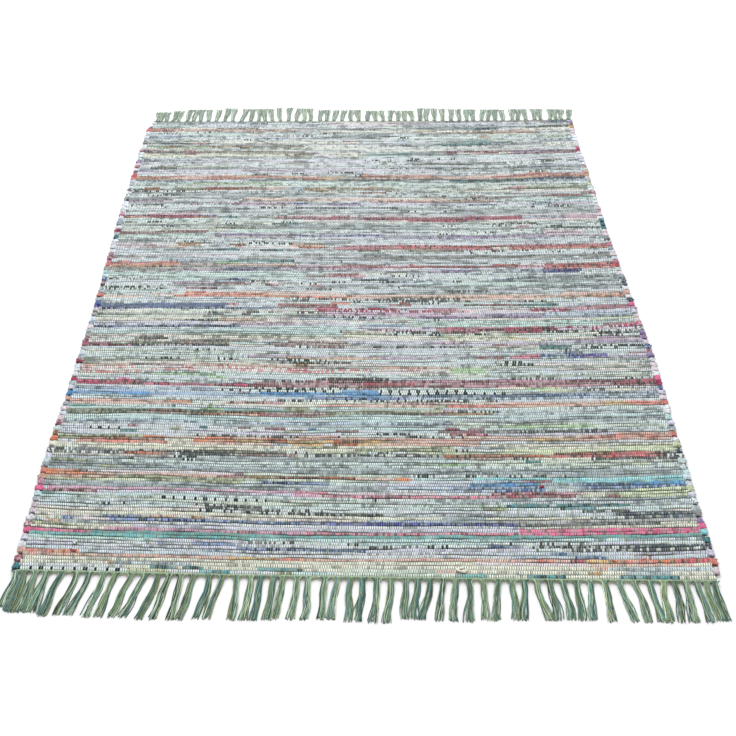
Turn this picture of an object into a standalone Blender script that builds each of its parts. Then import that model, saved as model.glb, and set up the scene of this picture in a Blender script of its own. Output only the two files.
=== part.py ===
"""Rag rug: a flat mat woven from rag strips, with a knotted fringe at each end.

Metres, +Z up, +Y towards the far end. The origin is the middle of the underside.
"""

import math
from collections import namedtuple

import bmesh
import bpy

# --- driving dimensions ----------------------------------------------------------------------

WEAVE_WIDTH = 1.194          # between the outermost warp ends, where the strips turn
WEAVE_LENGTH = 1.800         # from the first strip to the last
REACH_X = 0.614              # from the middle to the widest selvedge loop

PICKS = 220                  # rag strips laid across the warp
CREST = 0.0070               # top of a packed strip
VALLEY = 0.0052              # between two strips
LOOP_CREST = 0.0080          # top of a strip where it turns at the selvedge
LOOP_RIM = 0.0036            # where the turned strip curves down to the floor
LOOP_LEAST = 0.005           # how far the smallest loop stands out of the weave
LOOP_OUTLINE = (0.25, 0.86, 1.0, 0.86)   # shares of a loop's reach, row by row round its turn

PART_GAP = 0.0003            # between the weave and the knotted headings

HEADING_DEPTH = 0.0085       # of the corded heading, along the warp
HEADING_HEIGHT = 0.0060
KNOT_WIDTH = 0.0105
KNOT_RISE = 0.0022           # of a knot over the heading
KNOT_SHRINK = 0.72           # of a knot's top against its foot
TASSEL_GAP = 0.0012          # least space between two tassels

MM = 0.001                   # the charts below are in millimetres


# --- the collection and the materials --------------------------------------------------------

def clear_scene():
    """Remove whatever the file holds."""
    for obj in list(bpy.data.objects):
        bpy.data.objects.remove(obj, do_unlink=True)


def cloth_material(name, colour, roughness):
    """A plain cloth finish."""
    material = bpy.data.materials.new(name)
    material.use_nodes = True
    shader = material.node_tree.nodes["Principled BSDF"]
    shader.inputs["Base Color"].default_value = (*colour, 1.0)
    shader.inputs["Roughness"].default_value = roughness
    shader.inputs["Metallic"].default_value = 0.0
    material.diffuse_color = (*colour, 1.0)
    return material


def add_piece(collection, name, piece_mesh, material):
    """Make one named object from a finished bmesh."""
    bmesh.ops.recalc_face_normals(piece_mesh, faces=piece_mesh.faces[:])
    mesh = bpy.data.meshes.new(name)
    piece_mesh.to_mesh(mesh)
    piece_mesh.free()
    mesh.materials.append(material)
    collection.objects.link(bpy.data.objects.new(name, mesh))


# --- the woven field -------------------------------------------------------------------------

# Grid lines that run along the rug, as shares of half the weave's width.
WARP_LINES = (-1.0, -0.985, -0.40, 0.40, 0.985, 1.0)
LAST_LINE = len(WARP_LINES) - 1

# The strips aren't quite straight: they rise towards the far end at both selvedges.
BOW_CURVE = 0.036            # metres of rise for each square metre off the middle
BOW_TILT = 0.004
BOW_DIP = -0.004
BOW_RAMP = 0.060             # the bow fades out this close to the two ends

ROWS_PER_PICK = 2            # a crest and a valley
ROWS_PER_TURN = len(LOOP_OUTLINE)        # a strip turns back every second pick
ROWS = PICKS * ROWS_PER_PICK


def pick_bow(x, y):
    """How far a strip is pushed along the rug at x."""
    ramp = min(1.0, (WEAVE_LENGTH / 2 - abs(y)) / BOW_RAMP)
    return ramp * (BOW_CURVE * x * x + BOW_TILT * x + BOW_DIP)


def loop_size(side, turn):
    """How far one turn's loop stands out of the weave: an uneven row of loops."""
    wander = 0.5 + 0.5 * math.sin(2.3 * turn + 1.7 * side) * math.cos(0.61 * turn - side)
    most = REACH_X - WEAVE_WIDTH / 2
    return LOOP_LEAST + (most - LOOP_LEAST) * min(1.0, 1.15 * wander)


def selvedge_reach(side, row):
    """The outline's distance out of the weave; the right-hand turns lie between the left ones."""
    shift = 0 if side < 0 else ROWS_PER_TURN // 2
    turn, step = divmod(row + shift, ROWS_PER_TURN)
    near_end = min(1.0, min(row, ROWS - row) / ROWS_PER_TURN)
    return near_end * loop_size(side, turn) * LOOP_OUTLINE[step]


def field_point(line, row):
    """One point of the mat's top."""
    x = WARP_LINES[line] * WEAVE_WIDTH / 2
    y = (row / ROWS - 0.5) * WEAVE_LENGTH
    y += pick_bow(x, y)
    if line in (0, LAST_LINE):
        side = -1 if line == 0 else 1
        return x + side * selvedge_reach(side, row), y, LOOP_RIM
    if row % ROWS_PER_PICK == 0:
        return x, y, VALLEY
    return x, y, LOOP_CREST if line in (1, LAST_LINE - 1) else CREST


def weave_field():
    """One mat: a ribbed top over a flat underside, with looped selvedges."""
    mat = bmesh.new()
    bmesh.ops.create_grid(mat, x_segments=LAST_LINE, y_segments=ROWS, size=0.5)
    for vert in mat.verts:
        line = round((vert.co.x + 0.5) * LAST_LINE)
        row = round((vert.co.y + 0.5) * ROWS)
        vert.co = field_point(line, row)

    lowered = bmesh.ops.extrude_face_region(mat, geom=mat.faces[:])["geom"]
    for item in lowered:
        if isinstance(item, bmesh.types.BMVert):
            item.co.z = 0.0

    # The underside is flat, so it keeps only the edges that cross the rug.
    inner = [edge for edge in mat.edges if is_inner_floor_edge(edge)]
    bmesh.ops.dissolve_edges(mat, edges=inner, use_verts=True)
    return mat


def is_inner_floor_edge(edge):
    """True for an edge of the underside that runs along the rug, away from the outline."""
    corners = [vert.co for face in edge.link_faces for vert in face.verts]
    span = edge.verts[0].co - edge.verts[1].co
    return all(co.z == 0.0 for co in corners) and abs(span.y) > abs(span.x)


# --- the knotted fringes ---------------------------------------------------------------------

# Tassels that lie together: how many, where the first and last are knotted, where their tips
# lie, and how far those tips are from the weave. Places are millimetres from the rug's middle.
Clump = namedtuple("Clump", "tassels root last_root tip last_tip length")

NEAR_CLUMPS = (
    Clump(4, -594, -539, -594, -548, 100),
    Clump(1, -515, -515, -531, -531, 106),
    Clump(2, -489, -468, -506, -488, 103),
    Clump(2, -443, -423, -456, -437, 107),
    Clump(2, -394, -371, -415, -397, 107),
    Clump(2, -348, -329, -369, -346, 110),
    Clump(2, -309, -287, -317, -302, 110),
    Clump(2, -260, -238, -273, -258, 107),
    Clump(1, -213, -213, -216, -216, 108),
    Clump(2, -188, -172, -197, -179, 108),
    Clump(2, -150, -134, -158, -145, 106),
    Clump(2, -110, -91, -118, -96, 105),
    Clump(2, -62, -41, -67, -51, 104),
    Clump(2, -19, 1, -22, -7, 108),
    Clump(2, 26, 49, 17, 40, 110),
    Clump(3, 74, 115, 71, 97, 100),
    Clump(3, 137, 181, 125, 176, 104),
    Clump(2, 205, 230, 202, 220, 100),
    Clump(2, 253, 273, 252, 264, 99),
    Clump(2, 295, 316, 308, 319, 98),
    Clump(3, 338, 384, 342, 378, 97),
    Clump(1, 408, 408, 408, 408, 100),
    Clump(3, 433, 483, 445, 489, 99),
    Clump(2, 506, 524, 501, 520, 99),
    Clump(2, 543, 562, 542, 567, 98),
    Clump(2, 577, 591, 585, 599, 96),
)

FAR_CLUMPS = (
    Clump(3, -594, -567, -594, -567, 78),
    Clump(2, -548, -530, -541, -527, 88),
    Clump(3, -505, -467, -500, -466, 97),
    Clump(1, -443, -443, -445, -445, 97),
    Clump(1, -420, -420, -418, -418, 97),
    Clump(2, -395, -372, -393, -374, 106),
    Clump(2, -347, -320, -338, -319, 101),
    Clump(3, -297, -256, -300, -266, 102),
    Clump(2, -232, -210, -242, -209, 110),
    Clump(3, -186, -147, -181, -150, 104),
    Clump(2, -117, -100, -116, -99, 92),
    Clump(2, -79, -55, -71, -50, 90),
    Clump(2, -28, -7, -27, -9, 93),
    Clump(2, 18, 43, 23, 39, 86),
    Clump(2, 63, 84, 60, 87, 88),
    Clump(3, 108, 147, 106, 146, 86),
    Clump(3, 169, 210, 173, 213, 102),
    Clump(1, 235, 235, 236, 236, 99),
    Clump(2, 259, 282, 263, 284, 96),
    Clump(2, 304, 322, 308, 323, 94),
    Clump(3, 345, 384, 355, 393, 93),
    Clump(1, 407, 407, 409, 409, 90),
    Clump(2, 433, 450, 441, 456, 94),
    Clump(1, 472, 472, 474, 474, 94),
    Clump(2, 498, 515, 501, 519, 96),
    Clump(2, 541, 560, 550, 565, 93),
    Clump(2, 576, 593, 582, 605, 92),
)

# A tassel's cross-sections: the share of its length, its width against the knot's, its height,
# and how much of its lean it has taken.
Section = namedtuple("Section", "along width height lean")
TASSEL_SECTIONS = (
    Section(0.10, 1.05, 0.0052, 0.03),
    Section(0.35, 1.15, 0.0044, 0.27),
    Section(0.65, 1.28, 0.0038, 0.63),
    Section(0.92, 1.40, 0.0032, 0.94),
    Section(1.00, 1.05, 0.0022, 1.00),
)
TOP_SHARE = 0.72             # a lock's top against its flat underside
TRIM_STEPS = (0.0, 0.004, 0.002)   # how much shorter each tassel in turn is cut
STEEP = 0.9                  # a face this square to a direction faces it


def spread(first, last, count, index):
    """The place of one of a row of evenly spaced things."""
    return first if count == 1 else first + (last - first) * index / (count - 1)


def tassel_rows(clumps):
    """Every tassel of a fringe, in order: its root, its tip and its length in metres."""
    rows = []
    for clump in clumps:
        for index in range(clump.tassels):
            root = spread(clump.root, clump.last_root, clump.tassels, index) * MM
            tip = spread(clump.tip, clump.last_tip, clump.tassels, index) * MM
            length = clump.length * MM - TRIM_STEPS[index % len(TRIM_STEPS)]
            rows.append((root, tip, length))
    return rows


def half_width(centres, index, wanted):
    """Half a tassel's width where it lies between its neighbours."""
    sides = [other for other in (index - 1, index + 1) if 0 <= other < len(centres)]
    room = min(abs(centres[other] - centres[index]) for other in sides)
    return min(wanted, room - TASSEL_GAP) / 2


def knot_fringe(clumps, outward):
    """A corded heading with a knot at each tassel's root, and the tassels run out from it."""
    tassels = tassel_rows(clumps)
    roots = [root for root, tip, length in tassels]
    inner_y = outward * (WEAVE_LENGTH / 2 + PART_GAP)
    outer_y = inner_y + outward * HEADING_DEPTH

    # The heading's cross lines: its two ends, and both sides of each knot.
    half_knots = [half_width(roots, index, KNOT_WIDTH) for index in range(len(roots))]
    lines = [-WEAVE_WIDTH / 2 - half_knots[0] - TASSEL_GAP]
    for root, half in zip(roots, half_knots):
        lines += [root - half, root + half]
    lines.append(WEAVE_WIDTH / 2 + half_knots[-1] + TASSEL_GAP)

    heading = bmesh.new()
    bmesh.ops.create_grid(heading, x_segments=len(lines) - 1, y_segments=1, size=0.5)
    for vert in heading.verts:
        line = round((vert.co.x + 0.5) * (len(lines) - 1))
        vert.co = (lines[line], outer_y if vert.co.y > 0.0 else inner_y, 0.0)
    raised = bmesh.ops.extrude_face_region(heading, geom=heading.faces[:])["geom"]
    for item in raised:
        if isinstance(item, bmesh.types.BMVert):
            item.co.z = HEADING_HEIGHT
    bmesh.ops.recalc_face_normals(heading, faces=heading.faces[:])

    for index, root in enumerate(roots):
        top, front = knot_faces(heading, root, outward)
        raise_knot(heading, top)
        run_tassel(heading, front, tassels, index, outer_y, outward)
    return heading


def knot_faces(heading, root, outward):
    """The heading's top and outer faces over one knot."""
    def off_root(face):
        return abs(face.calc_center_median().x - root)

    wall = [face for face in heading.faces if face.normal.y * outward > STEEP]
    roof = [face for face in heading.faces if face.normal.z > STEEP]
    return min(roof, key=off_root), min(wall, key=off_root)


def raise_knot(heading, top):
    """Draw the heading up into one rounded knot."""
    knot = bmesh.ops.extrude_discrete_faces(heading, faces=[top])["faces"][0]
    middle = knot.calc_center_median()
    for vert in knot.verts:
        vert.co = middle + (vert.co - middle) * KNOT_SHRINK
        vert.co.z = HEADING_HEIGHT + KNOT_RISE


def run_tassel(heading, front, tassels, index, outer_y, outward):
    """Extrude one lock from the knot's outer face out along the floor."""
    root, tip, length = tassels[index]
    reach = length - abs(outer_y) + WEAVE_LENGTH / 2
    for section in TASSEL_SECTIONS:
        front = bmesh.ops.extrude_discrete_faces(heading, faces=[front])["faces"][0]
        centres = [first + (last - first) * section.lean for first, last, _ in tassels]
        half = half_width(centres, index, KNOT_WIDTH * section.width)
        middle = front.calc_center_median()
        for vert in front.verts:
            side = 1 if vert.co.x > middle.x else -1
            above = vert.co.z > middle.z
            share = TOP_SHARE if above else 1.0
            vert.co = (
                centres[index] + side * half * share,
                outer_y + outward * reach * section.along,
                section.height if above else 0.0,
            )


# --- the rug ---------------------------------------------------------------------------------

def make_rug():
    """Weave the field and knot a fringe at each end."""
    clear_scene()
    rug = bpy.data.collections.new("rag_rug")
    bpy.context.scene.collection.children.link(rug)
    rags = cloth_material("rag_weft", (0.52, 0.60, 0.57), 0.92)
    cotton = cloth_material("warp_cotton", (0.33, 0.43, 0.36), 0.88)
    add_piece(rug, "woven_field", weave_field(), rags)
    add_piece(rug, "near_fringe", knot_fringe(NEAR_CLUMPS, -1), cotton)
    add_piece(rug, "far_fringe", knot_fringe(FAR_CLUMPS, 1), cotton)


make_rug()
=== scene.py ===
import math
from collections import namedtuple

import bmesh
import bpy
import numpy as np
from mathutils import Matrix, Vector


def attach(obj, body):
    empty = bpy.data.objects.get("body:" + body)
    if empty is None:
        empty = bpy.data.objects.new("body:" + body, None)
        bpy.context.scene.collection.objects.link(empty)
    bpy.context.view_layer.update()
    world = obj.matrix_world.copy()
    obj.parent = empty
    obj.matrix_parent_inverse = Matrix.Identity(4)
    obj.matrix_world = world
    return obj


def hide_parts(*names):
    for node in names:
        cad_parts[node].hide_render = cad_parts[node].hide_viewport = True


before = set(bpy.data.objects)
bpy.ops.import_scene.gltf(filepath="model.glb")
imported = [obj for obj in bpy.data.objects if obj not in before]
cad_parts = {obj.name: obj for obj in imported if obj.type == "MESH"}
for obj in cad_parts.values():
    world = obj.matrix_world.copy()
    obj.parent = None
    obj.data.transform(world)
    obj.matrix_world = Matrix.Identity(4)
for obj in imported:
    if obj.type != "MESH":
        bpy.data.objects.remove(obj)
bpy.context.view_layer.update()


# --- the studio ------------------------------------------------------------------------------
# A seamless white floor under broad soft lamps, as for a plain product picture. The camera
# looks down over the near end, a little from the left, and the lens is shifted sideways.

CAMERA_PLACE = Vector((-0.01557, -2.3985, 1.53006))
CAMERA_YAW = math.radians(-3.18914)
CAMERA_DIP = math.radians(36.04368)
CAMERA_ROLL = math.radians(-1.50063)
CAMERA_LENS = 60.487
CAMERA_SHIFT = 0.09465
FLOOR_HALF = 9.0
FLOOR_WHITE = (0.70, 0.70, 0.70, 1.0)
SKY_LIGHT = 1.15
KEY_PLACE = Vector((-0.3, 2.2, 3.3))
KEY_TARGET = Vector((0.0, 0.1, 0.0))
KEY_SIZE = 3.0
KEY_POWER = 128.0


def add_object(name, data):
    """A new object in the scene."""
    thing = bpy.data.objects.new(name, data)
    bpy.context.scene.collection.objects.link(thing)
    return thing


def close_mesh(shell, name):
    """The mesh of a finished bmesh."""
    mesh = bpy.data.meshes.new(name)
    shell.to_mesh(mesh)
    shell.free()
    return mesh


def stand_camera():
    """The camera, turned from its yaw, its dip below the horizon and its roll."""
    forward = Vector((
        math.sin(CAMERA_YAW) * math.cos(CAMERA_DIP),
        math.cos(CAMERA_YAW) * math.cos(CAMERA_DIP),
        -math.sin(CAMERA_DIP),
    ))
    level = Vector((math.cos(CAMERA_YAW), -math.sin(CAMERA_YAW), 0.0))
    upright = level.cross(forward)
    right = math.cos(CAMERA_ROLL) * level + math.sin(CAMERA_ROLL) * upright
    up = math.cos(CAMERA_ROLL) * upright - math.sin(CAMERA_ROLL) * level
    lens = bpy.data.cameras.new("camera")
    lens.lens = CAMERA_LENS
    lens.shift_x = CAMERA_SHIFT
    lens.clip_end = 50.0
    camera = add_object("camera", lens)
    turn = Matrix((right, up, -forward)).transposed()
    camera.matrix_world = Matrix.Translation(CAMERA_PLACE) @ turn.to_4x4()
    bpy.context.scene.camera = camera


def lay_floor():
    """A wide matt white floor."""
    sheet = bmesh.new()
    bmesh.ops.create_grid(sheet, x_segments=1, y_segments=1, size=FLOOR_HALF)
    paint = bpy.data.materials.new("floor_white")
    paint.use_nodes = True
    shader = paint.node_tree.nodes["Principled BSDF"]
    shader.inputs["Base Color"].default_value = FLOOR_WHITE
    shader.inputs["Roughness"].default_value = 0.9
    shader.inputs["Specular IOR Level"].default_value = 0.1
    floor = add_object("floor", close_mesh(sheet, "floor"))
    floor.data.materials.append(paint)


def light_studio():
    """White surroundings and one broad soft lamp behind the far end."""
    sky = bpy.data.worlds.new("studio_white")
    sky.use_nodes = True
    sky.node_tree.nodes["Background"].inputs["Color"].default_value = (1.0, 1.0, 1.0, 1.0)
    sky.node_tree.nodes["Background"].inputs["Strength"].default_value = SKY_LIGHT
    bpy.context.scene.world = sky
    bpy.context.scene.view_settings.view_transform = "Standard"
    panel = bpy.data.lights.new("key_lamp", "AREA")
    panel.size = KEY_SIZE
    panel.energy = KEY_POWER
    lamp = add_object("key_lamp", panel)
    lamp.location = KEY_PLACE
    lamp.rotation_euler = (KEY_TARGET - KEY_PLACE).to_track_quat("-Z", "Y").to_euler()


stand_camera()
lay_floor()
light_studio()


# --- the woven field -------------------------------------------------------------------------
# One mat of torn cotton rags, beaten down hard over a thin warp in plain weave. Each strip is a
# soft rib, nipped by every second warp end, so the rags show as rows of small pale pillows.
# The field is one cloth. It is made as five bands, because it is too fine for one mesh.

WEAVE_WIDTH = 1.188
WEAVE_LENGTH = 1.800
PICKS = 220                  # rag strips laid across the warp
ENDS = 588                   # warp yarns
BANDS = 5
HALVES = 2                   # rows of faces to a strip
COARSE = 4                   # ends to a face on the underside
PICK = WEAVE_LENGTH / PICKS
CREST = 0.0070               # top of a strip
VALLEY = 0.0042              # between two strips
END_SPREAD = 0.0020          # how far the first and last strips lie out towards the fringes
PUFF = 0.0005                # a rag's rise between two warp yarns
NIP = 0.0006                 # a rag's dip under a warp yarn
BULK = 0.0007                # unevenness of the rags' thickness
FULLNESS = 0.22              # how much higher a strip stands for each part that it is wider
SLIT = 0.0009                # how much deeper the darkest seams are
VALLEY_BULK = 0.4            # how much of a rag's unevenness shows in the seam beside it
UNDER_VALLEY = 0.0016
BANK_SEED = 11

BOW_CURVE = 0.036            # the strips rise towards both selvedges
BOW_TILT = 0.004
BOW_DIP = -0.004
BOW_RAMP = 0.060             # straight again this close to the ends

# The seams between strips wander: how far, over how many strips, and over how many warp ends.
Wander = namedtuple("Wander", "push strips ends")
WANDERS = (
    Wander(0.0022, 9, 75),
    Wander(0.0015, 1, 34),
    Wander(0.0008, 1, 7),
    Wander(0.0004, 1, 2),
)
STEADY = 5                   # strips that lie straight at each end

# How far the left and the right edge of the cloth lie off a straight line, strip by strip.
Edge = namedtuple("Edge", "strip left right")
EDGES = (
    Edge(0, 0.0010, 0.0010),
    Edge(22, 0.0000, 0.0015),
    Edge(34, -0.0035, 0.0038),
    Edge(48, -0.0020, 0.0036),
    Edge(60, 0.0004, 0.0062),
    Edge(75, 0.0000, 0.0092),
    Edge(85, 0.0012, 0.0086),
    Edge(96, 0.0010, 0.0056),
    Edge(106, 0.0002, 0.0036),
    Edge(116, -0.0022, 0.0010),
    Edge(128, -0.0048, -0.0008),
    Edge(140, -0.0060, -0.0042),
    Edge(155, -0.0086, -0.0034),
    Edge(172, -0.0080, -0.0036),
    Edge(190, -0.0088, -0.0050),
    Edge(204, -0.0076, -0.0062),
    Edge(213, -0.0078, -0.0044),
    Edge(220, 0.0020, -0.0030),
)
CORNER_PUSH = 0.0085         # how much further out the far right corner lies
CORNER_START = 0.20          # from where across the rug, and over how much of it
CORNER_REACH = 0.40
NEAR_PUSH = 0.0052           # how much further out the near end lies where it bulges most
NEAR_BULGE = 0.08            # the middle of the bulge, and half its length
NEAR_REACH = 0.62
FAR_HOLD = (0.85, 0.90)      # between these distances the ends go from straight to their line
NEAR_HOLD = (0.87, 0.90)

# Where the beater left the strips uneven: place, reach across and along, and the push.
Ripple = namedtuple("Ripple", "x y reach_x reach_y rise")
RIPPLES = (
    Ripple(-0.60, 0.30, 0.12, 0.75, -0.0072),
    Ripple(-0.27, 0.30, 0.15, 0.75, 0.0035),
    Ripple(0.30, 0.55, 0.15, 0.42, -0.0040),
    Ripple(-0.36, -0.71, 0.14, 0.08, 0.0060),
)

# Rag cloths: colour, share of print, size of a printed mark (small, middling, long, or squares)
# and printed colour. A print with no colour of its own is a darker shade of its cloth.
PRINT_SHADE = 0.80
Rag = namedtuple("Rag", "cloth share mark ink")


def dye(red, green, blue, share, mark, ink=None):
    """One rag cloth."""
    cloth = (red, green, blue)
    return Rag(cloth, share, mark, ink or tuple(PRINT_SHADE * part for part in cloth))


RAGS = {
    "white": dye(195, 200, 205, 0.30, 2),
    "cream": dye(205, 205, 190, 0.27, 2),
    "beige": dye(185, 180, 175, 0.27, 3),
    "mint": dye(175, 190, 190, 0.25, 2),
    "ice": dye(190, 200, 210, 0.20, 3),
    "grey": dye(155, 165, 170, 0.35, 3),
    "sage": dye(165, 175, 165, 0.30, 3),
    "slate": dye(130, 140, 145, 0.25, 3),
    "steel": dye(140, 155, 170, 0.30, 2),
    "taupe": dye(135, 135, 135, 0.25, 3),
    "charcoal": dye(55, 60, 75, 0.26, 1, (165, 175, 170)),
    "ink": dye(50, 50, 55, 0.30, 1, (200, 205, 205)),
    "lilac": dye(180, 180, 195, 0.25, 3),
    "mauve": dye(155, 135, 155, 0.30, 2),
    "plum": dye(130, 115, 150, 0.30, 2),
    "violet": dye(110, 105, 140, 0.25, 2),
    "indigo": dye(45, 40, 105, 0.30, 1, (125, 135, 175)),
    "navy": dye(45, 65, 100, 0.34, 1, (145, 160, 185)),
    "royal": dye(75, 90, 130, 0.20, 2, (100, 115, 155)),
    "blue": dye(70, 120, 165, 0.20, 3),
    "sky": dye(135, 160, 190, 0.20, 3),
    "teal": dye(80, 130, 130, 0.27, 3, (105, 150, 145)),
    "sea": dye(60, 110, 115, 0.34, 2, (45, 60, 65)),
    "turquoise": dye(125, 185, 190, 0.20, 3),
    "aqua": dye(170, 195, 195, 0.20, 3),
    "seafoam": dye(165, 190, 185, 0.20, 3),
    "green": dye(130, 160, 120, 0.25, 2),
    "olive": dye(135, 140, 115, 0.30, 2),
    "moss": dye(65, 65, 60, 0.30, 1, (150, 150, 125)),
    "lime": dye(170, 180, 150, 0.20, 3),
    "leaf": dye(230, 240, 235, 0.34, 1, (120, 160, 125)),
    "gold": dye(180, 150, 105, 0.30, 3),
    "ochre": dye(140, 110, 80, 0.26, 2, (90, 75, 65)),
    "tan": dye(170, 140, 125, 0.30, 2),
    "rust": dye(140, 80, 60, 0.30, 1, (75, 50, 50)),
    "brown": dye(100, 80, 85, 0.38, 1, (185, 170, 165)),
    "orange": dye(185, 115, 85, 0.25, 2),
    "coral": dye(180, 115, 105, 0.20, 2),
    "salmon": dye(185, 150, 140, 0.20, 3),
    "peach": dye(200, 175, 165, 0.20, 3),
    "red": dye(160, 75, 80, 0.24, 1, (105, 60, 70)),
    "brick": dye(120, 55, 65, 0.26, 1, (160, 140, 145)),
    "crimson": dye(150, 55, 85, 0.26, 1, (75, 45, 60)),
    "maroon": dye(115, 70, 85, 0.34, 1, (180, 165, 170)),
    "rose": dye(165, 110, 125, 0.24, 1),
    "fuchsia": dye(190, 95, 130, 0.22, 2),
    "pink": dye(170, 130, 150, 0.20, 3),
    "blush": dye(190, 180, 185, 0.20, 3),
    "candy": dye(220, 225, 220, 0.40, 1, (210, 135, 145)),
    "inky": dye(185, 195, 195, 0.36, 1, (40, 45, 50)),
    "wine": dye(155, 110, 125, 0.48, 2, (105, 45, 60)),
    "berry": dye(180, 175, 190, 0.46, 1, (165, 35, 80)),
    "midnight": dye(105, 120, 155, 0.44, 1, (35, 40, 80)),
    "squares": dye(210, 220, 220, 0.29, 9, (10, 25, 35)),
}

# The quiet rags of each stretch of the rug, up to a strip, from the near end.
GROUNDS = (
    (4, "cream white mint cream"),
    (10, "ice lilac white ice"),
    (20, "cream beige grey mint inky"),
    (28, "mint sage grey mint"),
    (37, "slate sage mint mint"),
    (42, "cream beige cream lime"),
    (48, "mint ice white grey"),
    (54, "aqua white mint ice"),
    (66, "mint white cream ice"),
    (82, "mint grey ice sage"),
    (90, "mint beige cream sage"),
    (100, "beige sage mint aqua"),
    (112, "ice mint grey ice"),
    (120, "mint seafoam ice grey"),
    (140, "mint ice ice grey"),
    (150, "sage mint grey slate"),
    (168, "ice grey mint slate"),
    (175, "mint seafoam sage ice"),
    (193, "lilac ice grey mint"),
    (205, "sage grey cream ice"),
    (215, "ice aqua grey mint"),
    (221, "grey aqua slate sage"),
)

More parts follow.
